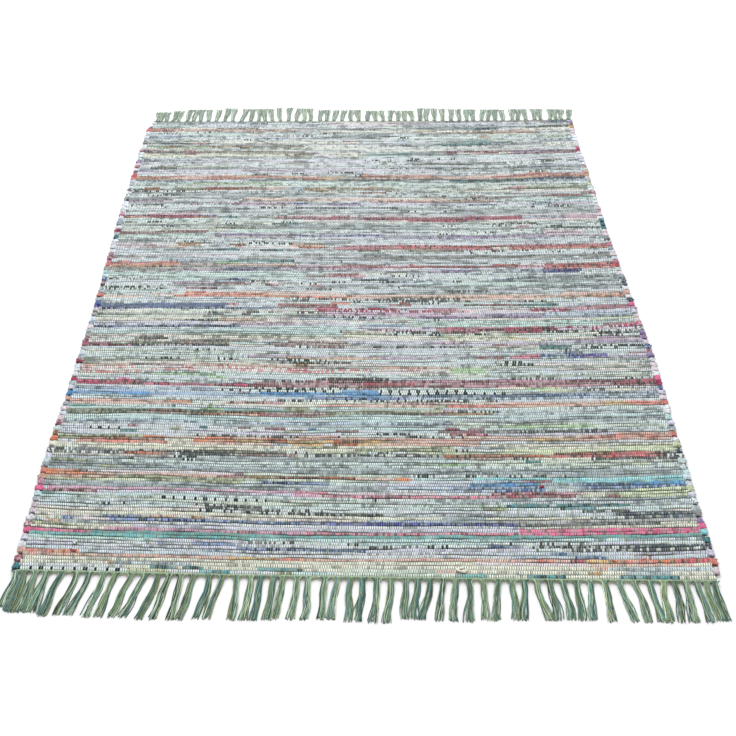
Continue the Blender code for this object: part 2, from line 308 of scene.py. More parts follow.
# The bright rags, strip by strip from the near end. Each run says where its rag starts, in
# centimetres from the middle, and a dot goes back to the quiet rags. A strip with many runs goes
# on in an indented line.
STRIPES = """
0: -60 squares, -39 olive, -33 ., -27 sea, -22 ., -15 olive, -11 aqua, -4 sage, 18 teal, 22 ., 27 sea, 35 .,
    44 sea, 53 .
1: -37 sea, -33 ., -31 sea, -28 ., -19 teal, -15 sea, -11 ., -3 sage, 14 peach, 18 ., 39 ochre, 42 .,
    44 slate, 53 .
2: -45 tan, -42 grey, -30 cream, 39 tan, 42 grey
3: -60 cream, 20 blush, 38 peach, 58 cream
4: -60 salmon, -49 tan, -46 peach, -43 salmon, -22 gold, -16 coral, -11 tan, -5 salmon, 23 tan, 26 salmon,
    29 coral, 34 salmon, 37 red, 40 gold, 45 coral, 51 orange, 53 red
5: -60 coral, -56 orange, -50 ., 26 steel, 29 ., 37 navy, 41 ., 48 coral, 50 .
6: -45 lilac, -40 ., -27 steel, -23 ., -21 lilac, -17 ., 18 lilac, 20 ., 34 navy, 36 .
7: -60 lilac, -51 white, -28 lilac, -21 midnight, -10 navy, 2 lilac, 30 inky, 36 ink
8: -36 navy, -34 ., -30 midnight, -22 ., 0 ink, 9 inky, 23 navy, 27 ., 31 ink, 44 charcoal
9: -60 seafoam, -37 ., -21 ink, -11 inky, 0 aqua, 22 inky, 40 ., 50 inky
10: -60 teal, -20 aqua, 47 grey
11: -60 fuchsia, -47 teal
12: -60 cream, -47 pink, -22 rose, -18 pink, -9 rose, 27 fuchsia
13: -60 olive, -52 cream, -41 lilac, 27 fuchsia
14: -58 tan, -53 ., -46 grey, -41 white, 30 cream
15: -55 navy, -51 blush, -46 midnight, -28 navy, -8 indigo, 27 ink, 54 cream
16: -50 taupe, -46 navy, -41 ., -37 tan, -34 ., -32 ochre, -28 ., 0 steel, 16 slate, 24 taupe
17: -60 cream, 15 slate, 22 cream, 40 inky, 46 charcoal
18: -60 beige, -28 inky, -13 ink, 4 grey, 46 charcoal
19: -53 inky, -50 ., -45 inky, -41 ., -28 ink, -15 inky, 3 white, 40 ink, 47 .
20: -48 inky, -42 ., -31 ink, -17 mint, 21 olive, 25 ., 35 sea, 43 .
21: -40 sage, -10 mint, 3 leaf, 25 sea, 33 ., 35 sea, 40 ., 44 sea, 50 .
22: -60 aqua, -52 sage, -38 squares, -18 sage, 5 grey
23: -60 teal, -56 ., -44 aqua, -25 ., 3 inky, 12 ., 43 slate
24: -60 wine, -48 lilac, -12 pink, -7 rose, 24 brick, 39 cream, 43 brick, 46 lime
25: -58 pink, -12 rose, -7 blush, 15 white, 24 wine, 39 cream, 46 lime
26: -60 slate, 5 white, 14 steel, 23 navy, 33 grey, 50 lime
27: -60 slate, 5 steel, 17 navy, 33 slate, 40 navy
28: -60 olive, -50 lime, -40 olive, -22 ., -19 midnight, -7 ., 2 lilac, 20 blue, 32 slate, 40 navy, 50 blue
29: -60 tan, -45 olive, -22 sage, 6 orange, 8 ice, 20 steel, 31 maroon, 34 turquoise
30: -60 orange, -50 peach, -40 salmon, -27 brick, -22 gold, -16 rust, 0 peach, 6 orange, 8 aqua,
    20 turquoise
31: -60 orange, -52 ink, -50 blush, -25 brown, -22 ., 10 inky, 24 ink, 39 .
32: -60 slate
33: -60 slate, -49 olive, -46 slate, -15 slate
35: -58 olive, -53 ., 10 sage, 14 green, 20 sage, 50 lime, 55 .
36: -44 ink, -42 ., -34 inky, -31 ., -20 slate, 5 ., 30 sea, 33 .
37: -42 taupe, -38 ., -36 inky, -30 slate, 17 brown, 30 ink, 33 ., 43 ink
38: -60 ink, -45 rust, -38 ink, -22 brown, -12 ink, 16 rust, 37 red, 57 ink
39: -60 ink, -30 moss, -15 inky, -8 lime, 0 inky, 8 lime, 37 rust, 46 red, 57 ink
40: -60 cream, -18 inky, -15 cream, 0 olive, 17 inky, 27 lime
41: -60 cream, -10 olive, -5 cream, 12 olive, 17 grey, 28 cream, 47 lime
42: -55 coral, -36 cream, -33 peach, -16 steel, -14 ., -12 gold, -8 ., -5 rust, 0 gold, 5 salmon, 22 cream
43: -60 olive, -55 rust, -44 ., -42 rust, -37 cream, -32 orange, -25 gold, -19 rust, -14 ., -13 gold,
    -6 rust, 0 gold, 5 salmon, 22 white
44: -58 olive, -43 orange, -37 peach, -31 orange, -25 tan, -19 rust, -14 salmon, 25 peach, 32 gold,
    42 salmon
45: -60 ice, -33 ink, -12 salmon, -3 inky, 20 peach, 44 coral
46: -46 sea, -43 ., -33 lilac, -4 inky, 16 wine, 23 lilac, 50 salmon
47: -55 squares, -46 ., -38 olive, -35 ., -16 olive, -12 ., -9 aqua, -4 maroon, 1 ., 16 maroon, 23 ink,
    48 grey
48: -47 maroon, -44 ., -33 sea, -29 ., -23 maroon, -21 ., -18 maroon, -15 ., -9 blue, -8 aqua, 16 maroon,
    19 aqua, 20 maroon, 23 mint
49: -60 grey, -30 slate, 18 sage, 28 green, 45 sage
50: -60 steel, 18 sage, 45 mint
51: -60 aqua, -22 seafoam, -18 ice, -5 aqua, 15 slate
52: -60 aqua, -15 turquoise, -12 aqua, 19 grey, 40 slate
53: -60 moss, -45 brown, -35 rust, -28 tan, -22 brick, -8 brown, -4 aqua
54: -60 moss, -42 rust, -35 moss, -27 rust, -20 brown, -8 olive, 0 red, 1 moss, 13 maroon, 18 ochre, 26 grey
55: -60 seafoam, -47 aqua, -33 green, -28 teal, -15 olive, -11 grey, 0 olive, 15 brown, 18 ink, 28 grey
56: -60 teal, -54 mint, -38 sea, -37 ., -32 green, -29 ., -15 olive, -11 aqua, 14 olive, 17 .
57: -60 peach, -35 ., -8 salmon, 5 tan, 14 olive, 17 coral, 30 tan, 49 gold, 53 coral
58: -60 salmon, -39 orange, -34 ., -27 wine, -16 ., 5 brown, 17 peach, 28 salmon, 49 gold, 53 coral
59: -49 steel, -43 ., -22 inky, 24 ink, 26 .
60: -60 steel, -43 ., -11 midnight, 8 steel, 24 charcoal, 26 steel
61: -60 blue, -43 sky, -22 blue, -10 sky, -4 blue, 6 steel, 13 navy, 46 steel
62: -60 sky, -43 steel, -22 blue, -6 blue, 4 squares, 31 slate, 46 steel
63: -60 steel, -30 squares, -3 blue, 3 squares, 20 aqua, 36 lime, 44 ink, 50 .
64: -22 inky, 0 brown, 3 ., 20 aqua, 26 ., 32 green, 36 lime, 41 ., 50 inky
65: -60 crimson, -47 crimson, -22 wine
66: -60 crimson, -46 rose, -44 ., -22 maroon, 0 brick, 12 maroon, 50 crimson
67: -52 fuchsia, -47 ., -21 ink, -12 wine, 54 crimson
68: -33 green, -29 ., -9 ink, 7 ., 18 inky, 23 ., 30 ink, 36 red, 37 ink, 40 ., 47 inky
69: -58 sage, -44 green, -29 ., 36 red, 37 .
70: -60 candy, -45 ., 8 sage, 25 .
71: -60 candy, 0 blush, 18 green, 25 .
72: -60 candy, -45 blush, -39 candy, 18 green, 25 ., 41 beige
73: -60 tan, -50 brown, -38 tan, -14 brown, -10 taupe, 3 tan, 18 ., 41 taupe, 48 sage
74: -60 beige, -14 ochre, -10 beige, 5 ., 27 inky, 35 beige
75: -31 inky, -26 ., -19 ink, -2 ., 27 inky, 33 .
76: -47 inky, -36 ., -31 inky, -27 ., -19 inky, -2 .
77: -25 mauve, -18 tan, 5 mauve, 15 ., 24 brick, 28 ., 32 rose, 37 steel, 43 indigo, 46 plum
78: -25 lilac, 24 blush, 28 ., 33 rose, 37 navy, 42 indigo, 52 ., 54 berry
79: 43 indigo, 45 ., 55 rose
80: -50 inky, -48 ., -35 inky, -32 ., 40 inky, 45 .
81: -60 ice, -24 ink, -22 ., 38 sea, 45 ., 47 inky, 53 .
82: -60 wine, -50 ink, -28 ., -19 maroon, -14 inky, -12 brown, -3 ., 2 ink, 10 ., 12 ink, 22 ., 38 sea,
    45 inky
83: -60 maroon, -53 ., -50 moss, -40 brown, -34 moss, -28 seafoam, -21 navy, -18 brown, -3 grey, 15 lilac,
    28 maroon, 30 mauve, 38 grey
84: -60 beige, -50 brown, -46 beige, -40 moss, -25 grey, -15 brown, -3 lilac, 15 mauve, 22 lilac, 45 plum
85: -48 ink, -43 ., -41 beige, -5 lilac, 18 cream, 40 mauve
86: -49 brown, -42 cream, 18 gold, 20 cream, 31 gold, 34 cream, 50 mauve
87: -40 sage, -5 cream, 15 lime, 33 ., 50 inky
88: -60 aqua, -5 olive, 5 inky, 17 ., 20 inky, 27 ., 50 ink
89: -60 aqua, -6 ink, -4 ., 5 inky, 17 wine, 26 ., 31 crimson, 38 inky
90: -60 ice, -30 aqua, -1 lilac, 4 berry, 16 rose, 24 wine, 31 crimson, 42 berry
91: -60 midnight, -28 lilac, -20 aqua, -1 lilac, 14 plum, 16 crimson, 22 wine, 31 crimson, 42 berry
92: -60 lilac, -28 mauve, -14 lilac, 0 sky, 10 ., 15 seafoam, 52 rose
93: -60 lilac, -33 blush, -14 lilac, -3 mint, 10 seafoam
94: -60 beige, -38 ink, -31 tan, -22 ., 10 seafoam, 50 mint
95: -60 cream, -20 blush, -15 steel, 5 mint, 15 inky, 24 ., 50 lime
96: -60 sage, -15 slate, -6 inky, 6 ., 12 plum, 25 lilac, 28 plum, 40 steel
97: -60 taupe, -35 ink, -30 ., -26 ink, -24 ., -18 taupe, -7 mauve, 28 plum, 41 steel
98: -60 sage, -35 ink, -30 ., -26 ink, -24 ., -22 ink, -20 ., -15 ink, -9 mauve, 20 lilac, 41 steel
99: -60 beige, -45 ., -10 berry, -6 berry, 14 rose, 23 blush, 38 berry, 45 lilac
100: -57 midnight, -20 grey, -10 fuchsia, -6 berry, 14 rose, 22 blush, 38 rose
101: -60 royal, -31 ., -19 brick, -6 ., 22 mint, 45 mauve, 50 rose
102: -60 royal, -31 rose, -28 ., -19 brick, -6 ., 5 wine, 9 brick, 11 ., 22 moss, 26 brick, 35 sea, 43 .
103: -6 coral, -2 ., 9 brick, 11 ., 13 inky, 18 ., 38 seafoam, 42 .
104: -60 ice, -16 ink, -11 ice, -3 inky, 5 ink, 25 ., 36 inky, 42 .
105: -50 grey, -16 inky, -10 ink, 22 peach, 40 grey
106: -60 peach, -50 ., -43 coral, -22 orange, -16 coral, -5 orange, -2 salmon, 6 tan, 25 salmon, 40 tan,
    52 orange
107: -60 mint, -47 peach, -40 coral, -37 red, -36 coral, -24 orange, -20 peach, -5 orange, -2 peach, 28 tan,
    33 peach, 45 tan
108: -60 mint, -40 orange, -38 red, -36 peach, -24 peach, -5 ., 45 peach
109: -60 seafoam, -45 ., 20 ink, 28 .
110: -60 inky, -44 ., -40 wine, -34 ., -13 ink, -8 ., 35 grey
111: -60 inky, -50 grey, 5 inky, 12 grey, 33 slate
112: -43 taupe, -32 brown, -26 ., -22 wine, -18 ., -13 wine, -8 slate, 5 grey
113: -43 mauve, -32 brick, -26 blush, -15 inky, -8 .
114: -35 steel, -25 inky, -22 ., -7 inky, 8 steel, 20 ink, 22 ., 35 slate
115: -58 inky, -53 ., -37 slate, -31 navy, -25 ., -2 charcoal, 6 slate, 13 ., 30 navy, 36 slate
116: -60 mint, -48 seafoam, -30 ., 30 ., 37 charcoal
117: -60 seafoam, -14 brown, -8 rose, 1 ., 8 inky, 13 .
118: -60 seafoam, -8 brick, 1 cream, 10 .
119: 6 slate, 17 plum, 27 ., 30 steel, 43 indigo, 50 .
120: -60 taupe, -45 mauve, -31 violet, -23 slate, -15 ., 5 lilac, 18 plum, 26 ., 38 steel, 43 indigo,
    53 lilac
121: -60 taupe, -31 violet, -20 mauve, 5 blush, 15 lilac, 44 red, 52 coral
122: -60 ochre, -45 taupe, -20 mauve, -8 rose, 0 brick, 4 rose, 11 red, 18 brick, 38 rose, 44 red
123: -60 coral, -43 brown, -30 tan, -15 blush, -3 brick, 5 ., 11 red, 13 ., 32 red, 37 blush, 44 red
124: -60 red, -54 rose, -51 coral, -43 slate, -35 green, -30 ., 36 white
125: -57 coral, -55 ., -47 steel, -42 slate, -30 sea, -14 ., -5 inky, -3 .
126: -47 steel, -30 grey, 0 taupe, 6 grey
127: -60 taupe, -53 ., -30 taupe, 50 ., 53 taupe
128: -60 taupe, -53 blush, -30 grey, -12 ., 0 taupe
129: -13 taupe, -3 ., 53 inky, 58 .
130: 26 inky, 34 ., 41 inky, 48 .
131: -50 grey, -37 sea, -30 inky, -23 sea, -17 slate, -10 ., 0 moss, 5 sage, 12 moss, 24 inky, 40 .
132: -55 slate, -48 ., -6 rose, 5 salmon, 20 rose, 33 cream, 37 coral
133: -60 blush, -52 maroon, -46 tan, -41 ., -30 rust, -27 blush, -15 rust, -8 ., -5 rose, 11 red, 33 cream,
    37 red
134: -60 mauve, -52 maroon, -50 ., -45 ochre, -39 grey, -30 rust, -27 ., -17 tan, -8 ., -4 rose, 3 brick,
    10 red, 33 rose, 57 maroon
135: -60 blush, -45 tan, -37 slate, -34 ., -28 inky, -17 tan, -8 grey, 0 ice, 50 slate, 56 .
136: -60 slate, -48 inky, -20 ., -8 slate, -3 ice
137: -60 slate, -49 ice
138: -60 mint, -6 mauve, -2 ice, 40 steel, 46 .
139: -60 seafoam, -36 mauve, -15 lilac, 3 plum, 35 mauve
140: -60 seafoam, -36 violet, -23 ., -15 midnight, 5 ., 20 plum, 45 lilac
141: -60 brick, -50 brown, -37 lilac, 20 inky, 24 ., 45 rose, 55 .
142: -60 brown, -45 brick, -37 ., -30 seafoam, -10 ., 20 inky, 35 ., 45 blush, 55 .
143: -50 olive, -46 ., -32 seafoam, -12 mint
144: -36 moss, -26 slate, 33 taupe, 46 charcoal, 58 .
145: -48 inky, -45 ., -20 slate, 20 grey, 38 wine, 43 ., 46 ink, 50 .
146: -20 slate, 19 inky, 24 ., 33 inky, 43 .
147: -36 inky, -30 ., -20 sea, -15 grey, 32 ink, 43 .
148: -60 slate, -57 ., -52 inky, -48 ., -20 inky, -17 .
149: -60 seafoam, -46 teal, -43 mint, -13 blush, 12 crimson, 28 blush
150: -60 mint, -39 orange, -38 seafoam, -20 maroon, -3 blush, 1 crimson, 40 mauve, 52 pink
151: -60 coral, -53 crimson, -42 maroon, -40 orange, -38 maroon, -34 sea, -30 taupe, -20 rose, -8 crimson,
    -2 maroon, 28 crimson, 41 steel, 50 mauve, 54 pink
152: -58 wine, -53 crimson, -42 plum, -34 ., -15 blush, -8 rose, -3 blush, 25 pink, 33 blush
153: -53 pink, -38 ., 20 ., 23 slate, 50 .
154: 7 slate, 20 ., 23 slate
155: 13 inky, 22 ., 25 slate, 50 ., 54 slate
156: -41 slate, -26 ., 54 slate
157: -52 inky, -48 ., -25 inky, -18 ., -15 ink, -2 ., 5 ink, 10 ., 43 inky, 47 ., 49 ink, 54 .
158: -58 inky, -50 ., -22 inky, -15 ., 47 inky, 54 .
159: -57 ink, -50 ., -42 mauve, -39 ., -33 mauve, -17 lilac, -8 plum, 1 lilac, 14 steel, 22 lilac, 28 navy,
    36 lilac, 43 navy, 50 mauve
160: -45 slate, -38 mauve, -27 mauve, -17 indigo, -12 slate, -8 plum, 1 lilac, 45 steel
161: -60 mauve, -48 ., 3 wine, 20 brown, 37 ., 44 aqua, 49 .
162: -60 mauve, -48 ., -30 rust, -28 tan, -14 peach, 5 tan, 16 salmon, 19 tan, 36 ., 40 seafoam
163: -30 peach, 10 cream, 16 peach, 22 ., 28 inky, 32 ., 40 seafoam, 50 teal
164: -36 slate, -25 ., 28 brown, 38 ., 43 mauve, 48 brick, 57 .
165: -58 inky, -48 ., 17 ink, 23 ., 29 brown, 33 ., 43 taupe, 48 brown
166: -58 inky, -50 ., 25 inky, 30 ., 57 maroon
167: -10 beige, 1 rust, 8 ., 13 slate, 20 ., 33 slate, 40 blush
168: -60 ink, -55 ., -52 inky, -38 white, -20 ., -13 olive, -7 ., 8 brown, 10 ., 13 slate, 16 .
169: -60 charcoal, -56 rust, -51 slate, -48 moss, -42 rust, -32 brown, -28 salmon, -19 steel, -13 ochre,
    -6 olive, 2 brown, 11 grey, 14 slate, 19 sage, 27 brown, 40 brick, 44 sage, 46 moss, 58 .
170: -56 rust, -52 ., -48 olive, -41 red, -35 rust, -28 brown, -25 salmon, -19 steel, -12 olive, 0 ochre,
    5 olive, 10 ., 37 rose, 44 olive
171: -38 coral, -36 ., 3 tan, 5 ., 45 sage
172: -60 sage, -20 mint
173: -60 seafoam, -45 green, -20 seafoam, 30 mint
174: -60 steel, -42 slate, -36 ., -30 seafoam, 12 slate, 44 steel
175: -60 steel, -40 ., -28 slate, -5 slate, 12 grey, 23 sea, 43 navy, 50 steel
176: -60 tan, -50 salmon, -40 coral, -32 ., -16 rust, -10 gold, -6 charcoal, 10 slate, 44 navy
177: -60 orange, -52 salmon, -42 coral, -25 tan, -19 coral, -10 gold, -7 taupe, 0 tan, 20 salmon, 38 red,
    39 gold, 45 coral, 52 red, 58 orange
178: -60 orange, -54 coral, -45 salmon, -38 coral, -33 gold, -27 coral, -20 gold, -16 salmon, -9 gold,
    -4 taupe, 1 orange, 5 coral, 20 salmon, 35 red, 44 coral
179: -58 inky, -55 ., -50 blush, -34 ., -27 ink, -23 ., -2 inky, 1 orange, 4 salmon, 20 ., 30 peach,
    40 coral, 55 salmon
180: -58 inky, -54 ., -18 inky, -12 ., 43 coral, 50 .
181: -60 lilac, -52 ., -36 lilac, -8 inky, 0 ., 45 inky, 48 .
182: -60 violet, -55 lilac, -30 mauve, -18 lilac, 20 .
183: -60 steel, -53 lilac, 20 ., 25 inky, 30 grey
184: -55 moss, -49 ., -44 slate, -33 lilac, 9 inky, 18 slate, 22 ., 25 ink, 33 slate, 44 navy, 52 slate
185: -55 taupe, -49 sage, -33 ., 12 slate, 30 ., 44 steel
186: -50 sage, -33 ., -20 sage, -6 ., 40 lilac
187: -20 taupe, -13 ., 15 moss, 30 slate, 40 .
188: -48 steel, -40 ., -20 taupe, -13 ., 14 slate, 33 moss, 41 ., 48 ink, 53 ., 56 slate
189: -60 slate, -52 ., -50 lilac, 6 ink, 9 ., 48 charcoal, 54 .
190: -60 steel, -45 lilac, -31 inky, -29 ., -25 slate, -22 ., -11 slate, -8 ., 3 inky, 10 ., 14 inky, 16 .
191: -25 inky, -22 ., -11 steel, -7 ., 15 inky, 17 ., 20 inky, 27 .
192: -60 cream, -45 sage, -10 lilac, -6 ., 7 teal, 10 aqua
193: -60 cream, -20 tan, -13 ., -12 lilac, -5 ., 2 aqua, 13 ice
194: -60 lime, -48 rose, -43 cream, -18 brown, -13 lilac, -8 ., 2 teal, 13 slate, 30 ., 40 wine
195: -60 maroon, -54 charcoal, -47 brick, -42 olive, -14 maroon, -12 ., 3 seafoam, 12 teal, 16 slate,
    23 maroon, 28 ., 30 pink, 33 ., 35 brick, 39 ., 42 plum, 50 maroon
196: -60 charcoal, -55 maroon, -50 brown, -15 ., 25 wine, 35 maroon, 45 plum, 55 maroon
197: -60 wine, -55 ., -47 rose, -46 ., 25 blush, 48 rose, 49 .
198: -57 sage, -47 ., 38 blush, 42 .
199: -57 green, -54 ochre, -50 olive, -46 green, -41 tan, -37 ., -33 rust, -31 sage, -25 olive, -15 .,
    0 sage
200: -60 green, -54 ochre, -50 sage, -46 olive, -41 rust, -39 gold, -31 taupe, -20 brown, -14 ., 0 white
201: -60 grey, -36 taupe, -20 olive, -15 white, 5 slate, 22 sea, 35 slate, 50 .
202: -58 charcoal, -47 wine, -40 grey, -15 slate, 9 ., 20 sea, 33 navy, 41 maroon, 43 slate, 52 .
203: -60 slate, -50 ., 9 ice, 14 ., 22 slate, 30 teal, 38 sea, 42 lilac, 50 slate
204: -30 sage, -3 rose, -2 ., 10 sky, 14 ., 17 inky, 20 ., 29 teal, 36 ., 50 steel
205: -50 grey, -35 inky, -30 ., -28 steel, -22 ., 11 steel, 14 ., 28 seafoam, 40 .
206: -60 steel, -50 ., -28 steel, -20 grey, 3 slate, 8 ., 28 seafoam, 40 ., 52 green, 58 .
207: -60 steel, -50 aqua, -44 slate, -36 lilac, -10 slate, 9 ., 12 inky, 14 ., 33 tan, 36 ., 51 sage, 58 .
208: -60 sky, -45 mint, -15 inky, -12 ., -8 slate, 10 ., 33 tan, 36 seafoam
209: -60 ice, -45 seafoam, -30 ., -16 slate, -12 ., -8 grey, 5 slate, 9 ., 30 sage
210: -58 inky, -50 ., -30 tan, -28 ., -10 inky, 0 ., 5 charcoal, 9 ., 36 rust, 38 tan, 45 rust, 50 .
211: -54 inky, -50 ., -45 inky, -38 ., -31 inky, -28 ., 23 rust, 27 tan, 33 rust, 38 tan, 48 .
212: -60 red, -53 salmon, -40 salmon, -19 blush, -12 cream, 15 gold, 22 cream, 38 peach, 48 cream
213: -60 coral, -54 salmon, -28 salmon, -19 blush, -12 ., -11 slate, -3 charcoal, 6 sage, 20 slate, 34 navy,
    40 ., 45 cream
214: -60 coral, -55 brown, -50 peach, -41 brown, -29 white, -20 slate, 8 ., 14 slate, 28 sea, 40 .,
    46 charcoal
215: -60 aqua, -29 white, -19 ice, -5 lilac, 8 mint, 14 ., 50 moss
216: -60 seafoam, -50 ice, -32 steel, -27 aqua, -6 lilac, 8 ., 16 steel, 40 ice
217: -60 seafoam, -45 ice, -33 steel, -10 blush, 10 slate, 30 steel, 45 .
218: -60 steel, -30 inky, -23 ice, -10 blush, 8 mauve, 20 lilac, 54 navy
219: -60 slate, -50 ink, -49 steel, -30 slate, -10 blush, 20 mauve, 54 navy
"""
SLANT = 7                    # how unevenly a rag's end is torn, in warp ends
QUIET_RUN = (60, 420)        # the shortest and longest quiet rag, in warp ends
SQUARE = 9.4                 # from one printed square to the next, in warp ends
INK_DEPTH = 0.60
# The three sizes of printed marks: how long they are, in warp ends, and how soft their edges.
Mark = namedtuple("Mark", "ends soft")
MARKS = (Mark(2, 0.42), Mark(4, 0.44), Mark(9, 0.60))
SHARP = 0.01                 # how soft the edges of the squares are
CROWDING = 1.0               # how unevenly the printed marks lie along a rag
CROWD_DRIFT = 30.0
CROWD_LIMITS = (0.1, 2.2)
REVERSE = 0.20               # how much of the cloth's pale back shows where a rag is turned
REVERSE_DRIFT = 14.0
REVERSE_EDGE = 1.6           # how sharply a rag turns, and how seldom
REVERSE_RARE = 0.3
BACK_KEEP = 0.45             # how much of its colour the back keeps, over this pale ground
BACK_PALE = 0.36

# How the rags' lightness wanders: by how much, and over how many warp ends. First the whole
# strips, then the half strips. Their warmth and their thickness wander in the same way.
Drift = namedtuple("Drift", "much ends")
STRIP_DRIFTS = (Drift(0.03, 4.0), Drift(0.04, 17.0), Drift(0.22, 220.0))
HALF_DRIFTS = (Drift(0.06, 8.0), Drift(0.14, 120.0))
SPOTTED = 0.10               # and from one warp end to the next
STRIPED = 0.13               # and from one strip to the next
RED_DRIFT = Drift(0.02, 60.0)
BLUE_DRIFT = Drift(-0.02, 45.0)
BULK_DRIFTS = (Drift(0.6, 25.0), Drift(0.4, 110.0))
BRIGHTNESS = 1.55
LIGHTEST = 0.68
ROW_PAINTED_LIGHT = -0.48             # how much lighter the rags are painted at the far end: painted light that changes along the rug
ROW_LEVEL = 0.35             # the share of the length where they are just as bright as set
DULL = 0.03                  # how much greyer than new they are, and how much more at the far end
ROW_DULL = 0.40
DULL_CURVE = 0.9
STRIP_WIDTH_SHADE = 0.60                 # how much lighter a strip is for each part that it is wider: painted shade on thin strips, which lie lower
LUMINANCE = (0.2126, 0.7152, 0.0722)

SEAM_SHADE = 0.54            # how dark the painted shade in the seams is, and how much that varies along them
SEAM_LONG = Drift(0.95, 34)
SEAM_SHORT = Drift(0.32, 8)
SEAM_FAR = 0.55              # how much darker they are at the far end
SEAM_THIN = 0.3              # and beside thin strips
SEAM_HOLD = 6.0              # over this many strips from each end they come up from this share
SEAM_END = 0.4
SEAM_LEAST = 0.04


def bare(colour):
    """A colour out of 255 as Blender's linear light."""
    share = np.asarray(colour, float) / 255.0
    return np.where(share <= 0.04045, share / 12.92, ((share + 0.055) / 1.055) ** 2.4)


def end_line(x, y):
    """How far the two ends of the rug are pushed out of line at a place."""
    corner = CORNER_PUSH * np.clip((x - CORNER_START) / CORNER_REACH, 0.0, 1.0) ** 2
    bulge = NEAR_PUSH * np.clip(1.0 - ((x - NEAR_BULGE) / NEAR_REACH) ** 2, 0.0, 1.0)
    return corner * np.interp(y, FAR_HOLD, (0.0, 1.0)) - bulge * np.interp(-y, NEAR_HOLD, (0.0, 1.0))


def weft_line(x, y):
    """How far a strip is pushed along the rug at a place."""
    ramp = np.clip((WEAVE_LENGTH / 2 - np.abs(y)) / BOW_RAMP, 0.0, 1.0)
    push = BOW_CURVE * x * x + BOW_TILT * x + BOW_DIP
    for ripple in RIPPLES:
        across = ((x - ripple.x) / ripple.reach_x) ** 2
        along = ((y - ripple.y) / ripple.reach_y) ** 4
        push = push + ripple.rise * np.exp(-across - along)
    return ramp * push + end_line(x, y)


def edge_line(x, y):
    """How far the cloth is drawn sideways at a place, as its two edges are."""
    strip = (y / WEAVE_LENGTH + 0.5) * PICKS
    strips = [edge.strip for edge in EDGES]
    left = np.interp(strip, strips, [edge.left for edge in EDGES])
    right = np.interp(strip, strips, [edge.right for edge in EDGES])
    return left + (right - left) * (x / WEAVE_WIDTH + 0.5)


def knot_steps(count, step):
    """For so many places in a row, the knot before each and the smooth share of the way on."""
    place = np.arange(count) / step
    low = place.astype(int)
    part = place - low
    return low, part * part * (3.0 - 2.0 * part)


def drift(dice, step):
    """Smooth wandering values along the strips, for every strip and warp end, from -1 to 1."""
    count = PICKS * (ENDS + 1)
    knots = dice.uniform(-1.0, 1.0, int(count / step) + 2)
    low, part = knot_steps(count, step)
    return (knots[low] * (1.0 - part) + knots[low + 1] * part).reshape(PICKS, ENDS + 1)


def sum_drifts(dice, drifts):
    """Several such wanderings together."""
    return sum(wander.much * drift(dice, wander.ends) for wander in drifts)


def drift_halves(dice, step):
    """Smooth wandering values for every half strip and warp end."""
    return np.stack([drift(dice, step) for half in range(HALVES)], axis=1)


def spread(dice, strips, ends):
    """Smooth values over every seam and warp end, from -1 to 1, with a knot for so many of each."""
    knots = dice.uniform(-1.0, 1.0, (PICKS // strips + 3, ENDS // ends + 3))
    low, part = knot_steps(ENDS + 1, ends)
    rows = knots[:, low] * (1.0 - part) + knots[:, low + 1] * part
    low, part = knot_steps(PICKS + 1, strips)
    return rows[low] * (1.0 - part[:, None]) + rows[low + 1] * part[:, None]


def sway_seams(dice):
    """How far each seam between two strips lies from its even place, at every warp end."""
    seam = np.arange(PICKS + 1)
    loose = np.clip(np.minimum(seam, PICKS - seam) / STEADY, 0.0, 1.0)[:, None]
    return loose * sum(wander.push * spread(dice, wander.strips, wander.ends) for wander in WANDERS)


def draft_rags(dice):
    """Which rag shows at each half strip and warp end: the quiet ones, then the charted ones."""
    names = list(RAGS)
    plan = np.zeros((PICKS, HALVES, ENDS + 1), int)
    stretch = iter(GROUNDS)
    last, quiet = next(stretch)
    for pick in range(PICKS):
        if pick >= last:
            last, quiet = next(stretch)
        choices = quiet.split()
        end = 0
        while end <= ENDS:
            rag = choices[int(dice.integers(len(choices)))]
            for half in range(HALVES):
                plan[pick, half, max(0, end - int(dice.integers(SLANT))):] = names.index(rag)
            end += int(dice.integers(*QUIET_RUN))
    for line in STRIPES.replace("\n    ", " ").strip().splitlines():
        pick, runs = line.split(":")
        runs = [run.split() for run in runs.split(",")]
        starts = [round((float(start) / 100 / WEAVE_WIDTH + 0.5) * ENDS) for start, rag in runs]
        for half in range(HALVES):
            cuts = [start + int(dice.integers(-SLANT, SLANT)) for start in starts] + [ENDS + 1]
            for (start, rag), first, until in zip(runs, cuts, cuts[1:]):
                if rag != ".":
                    plan[int(pick), half, max(0, first):until] = names.index(rag)
    return plan


def even_shares(noise):
    """Noise as even shares from 0 to 1."""
    order = noise.ravel().argsort().argsort()
    return (order / noise.size).reshape(noise.shape)


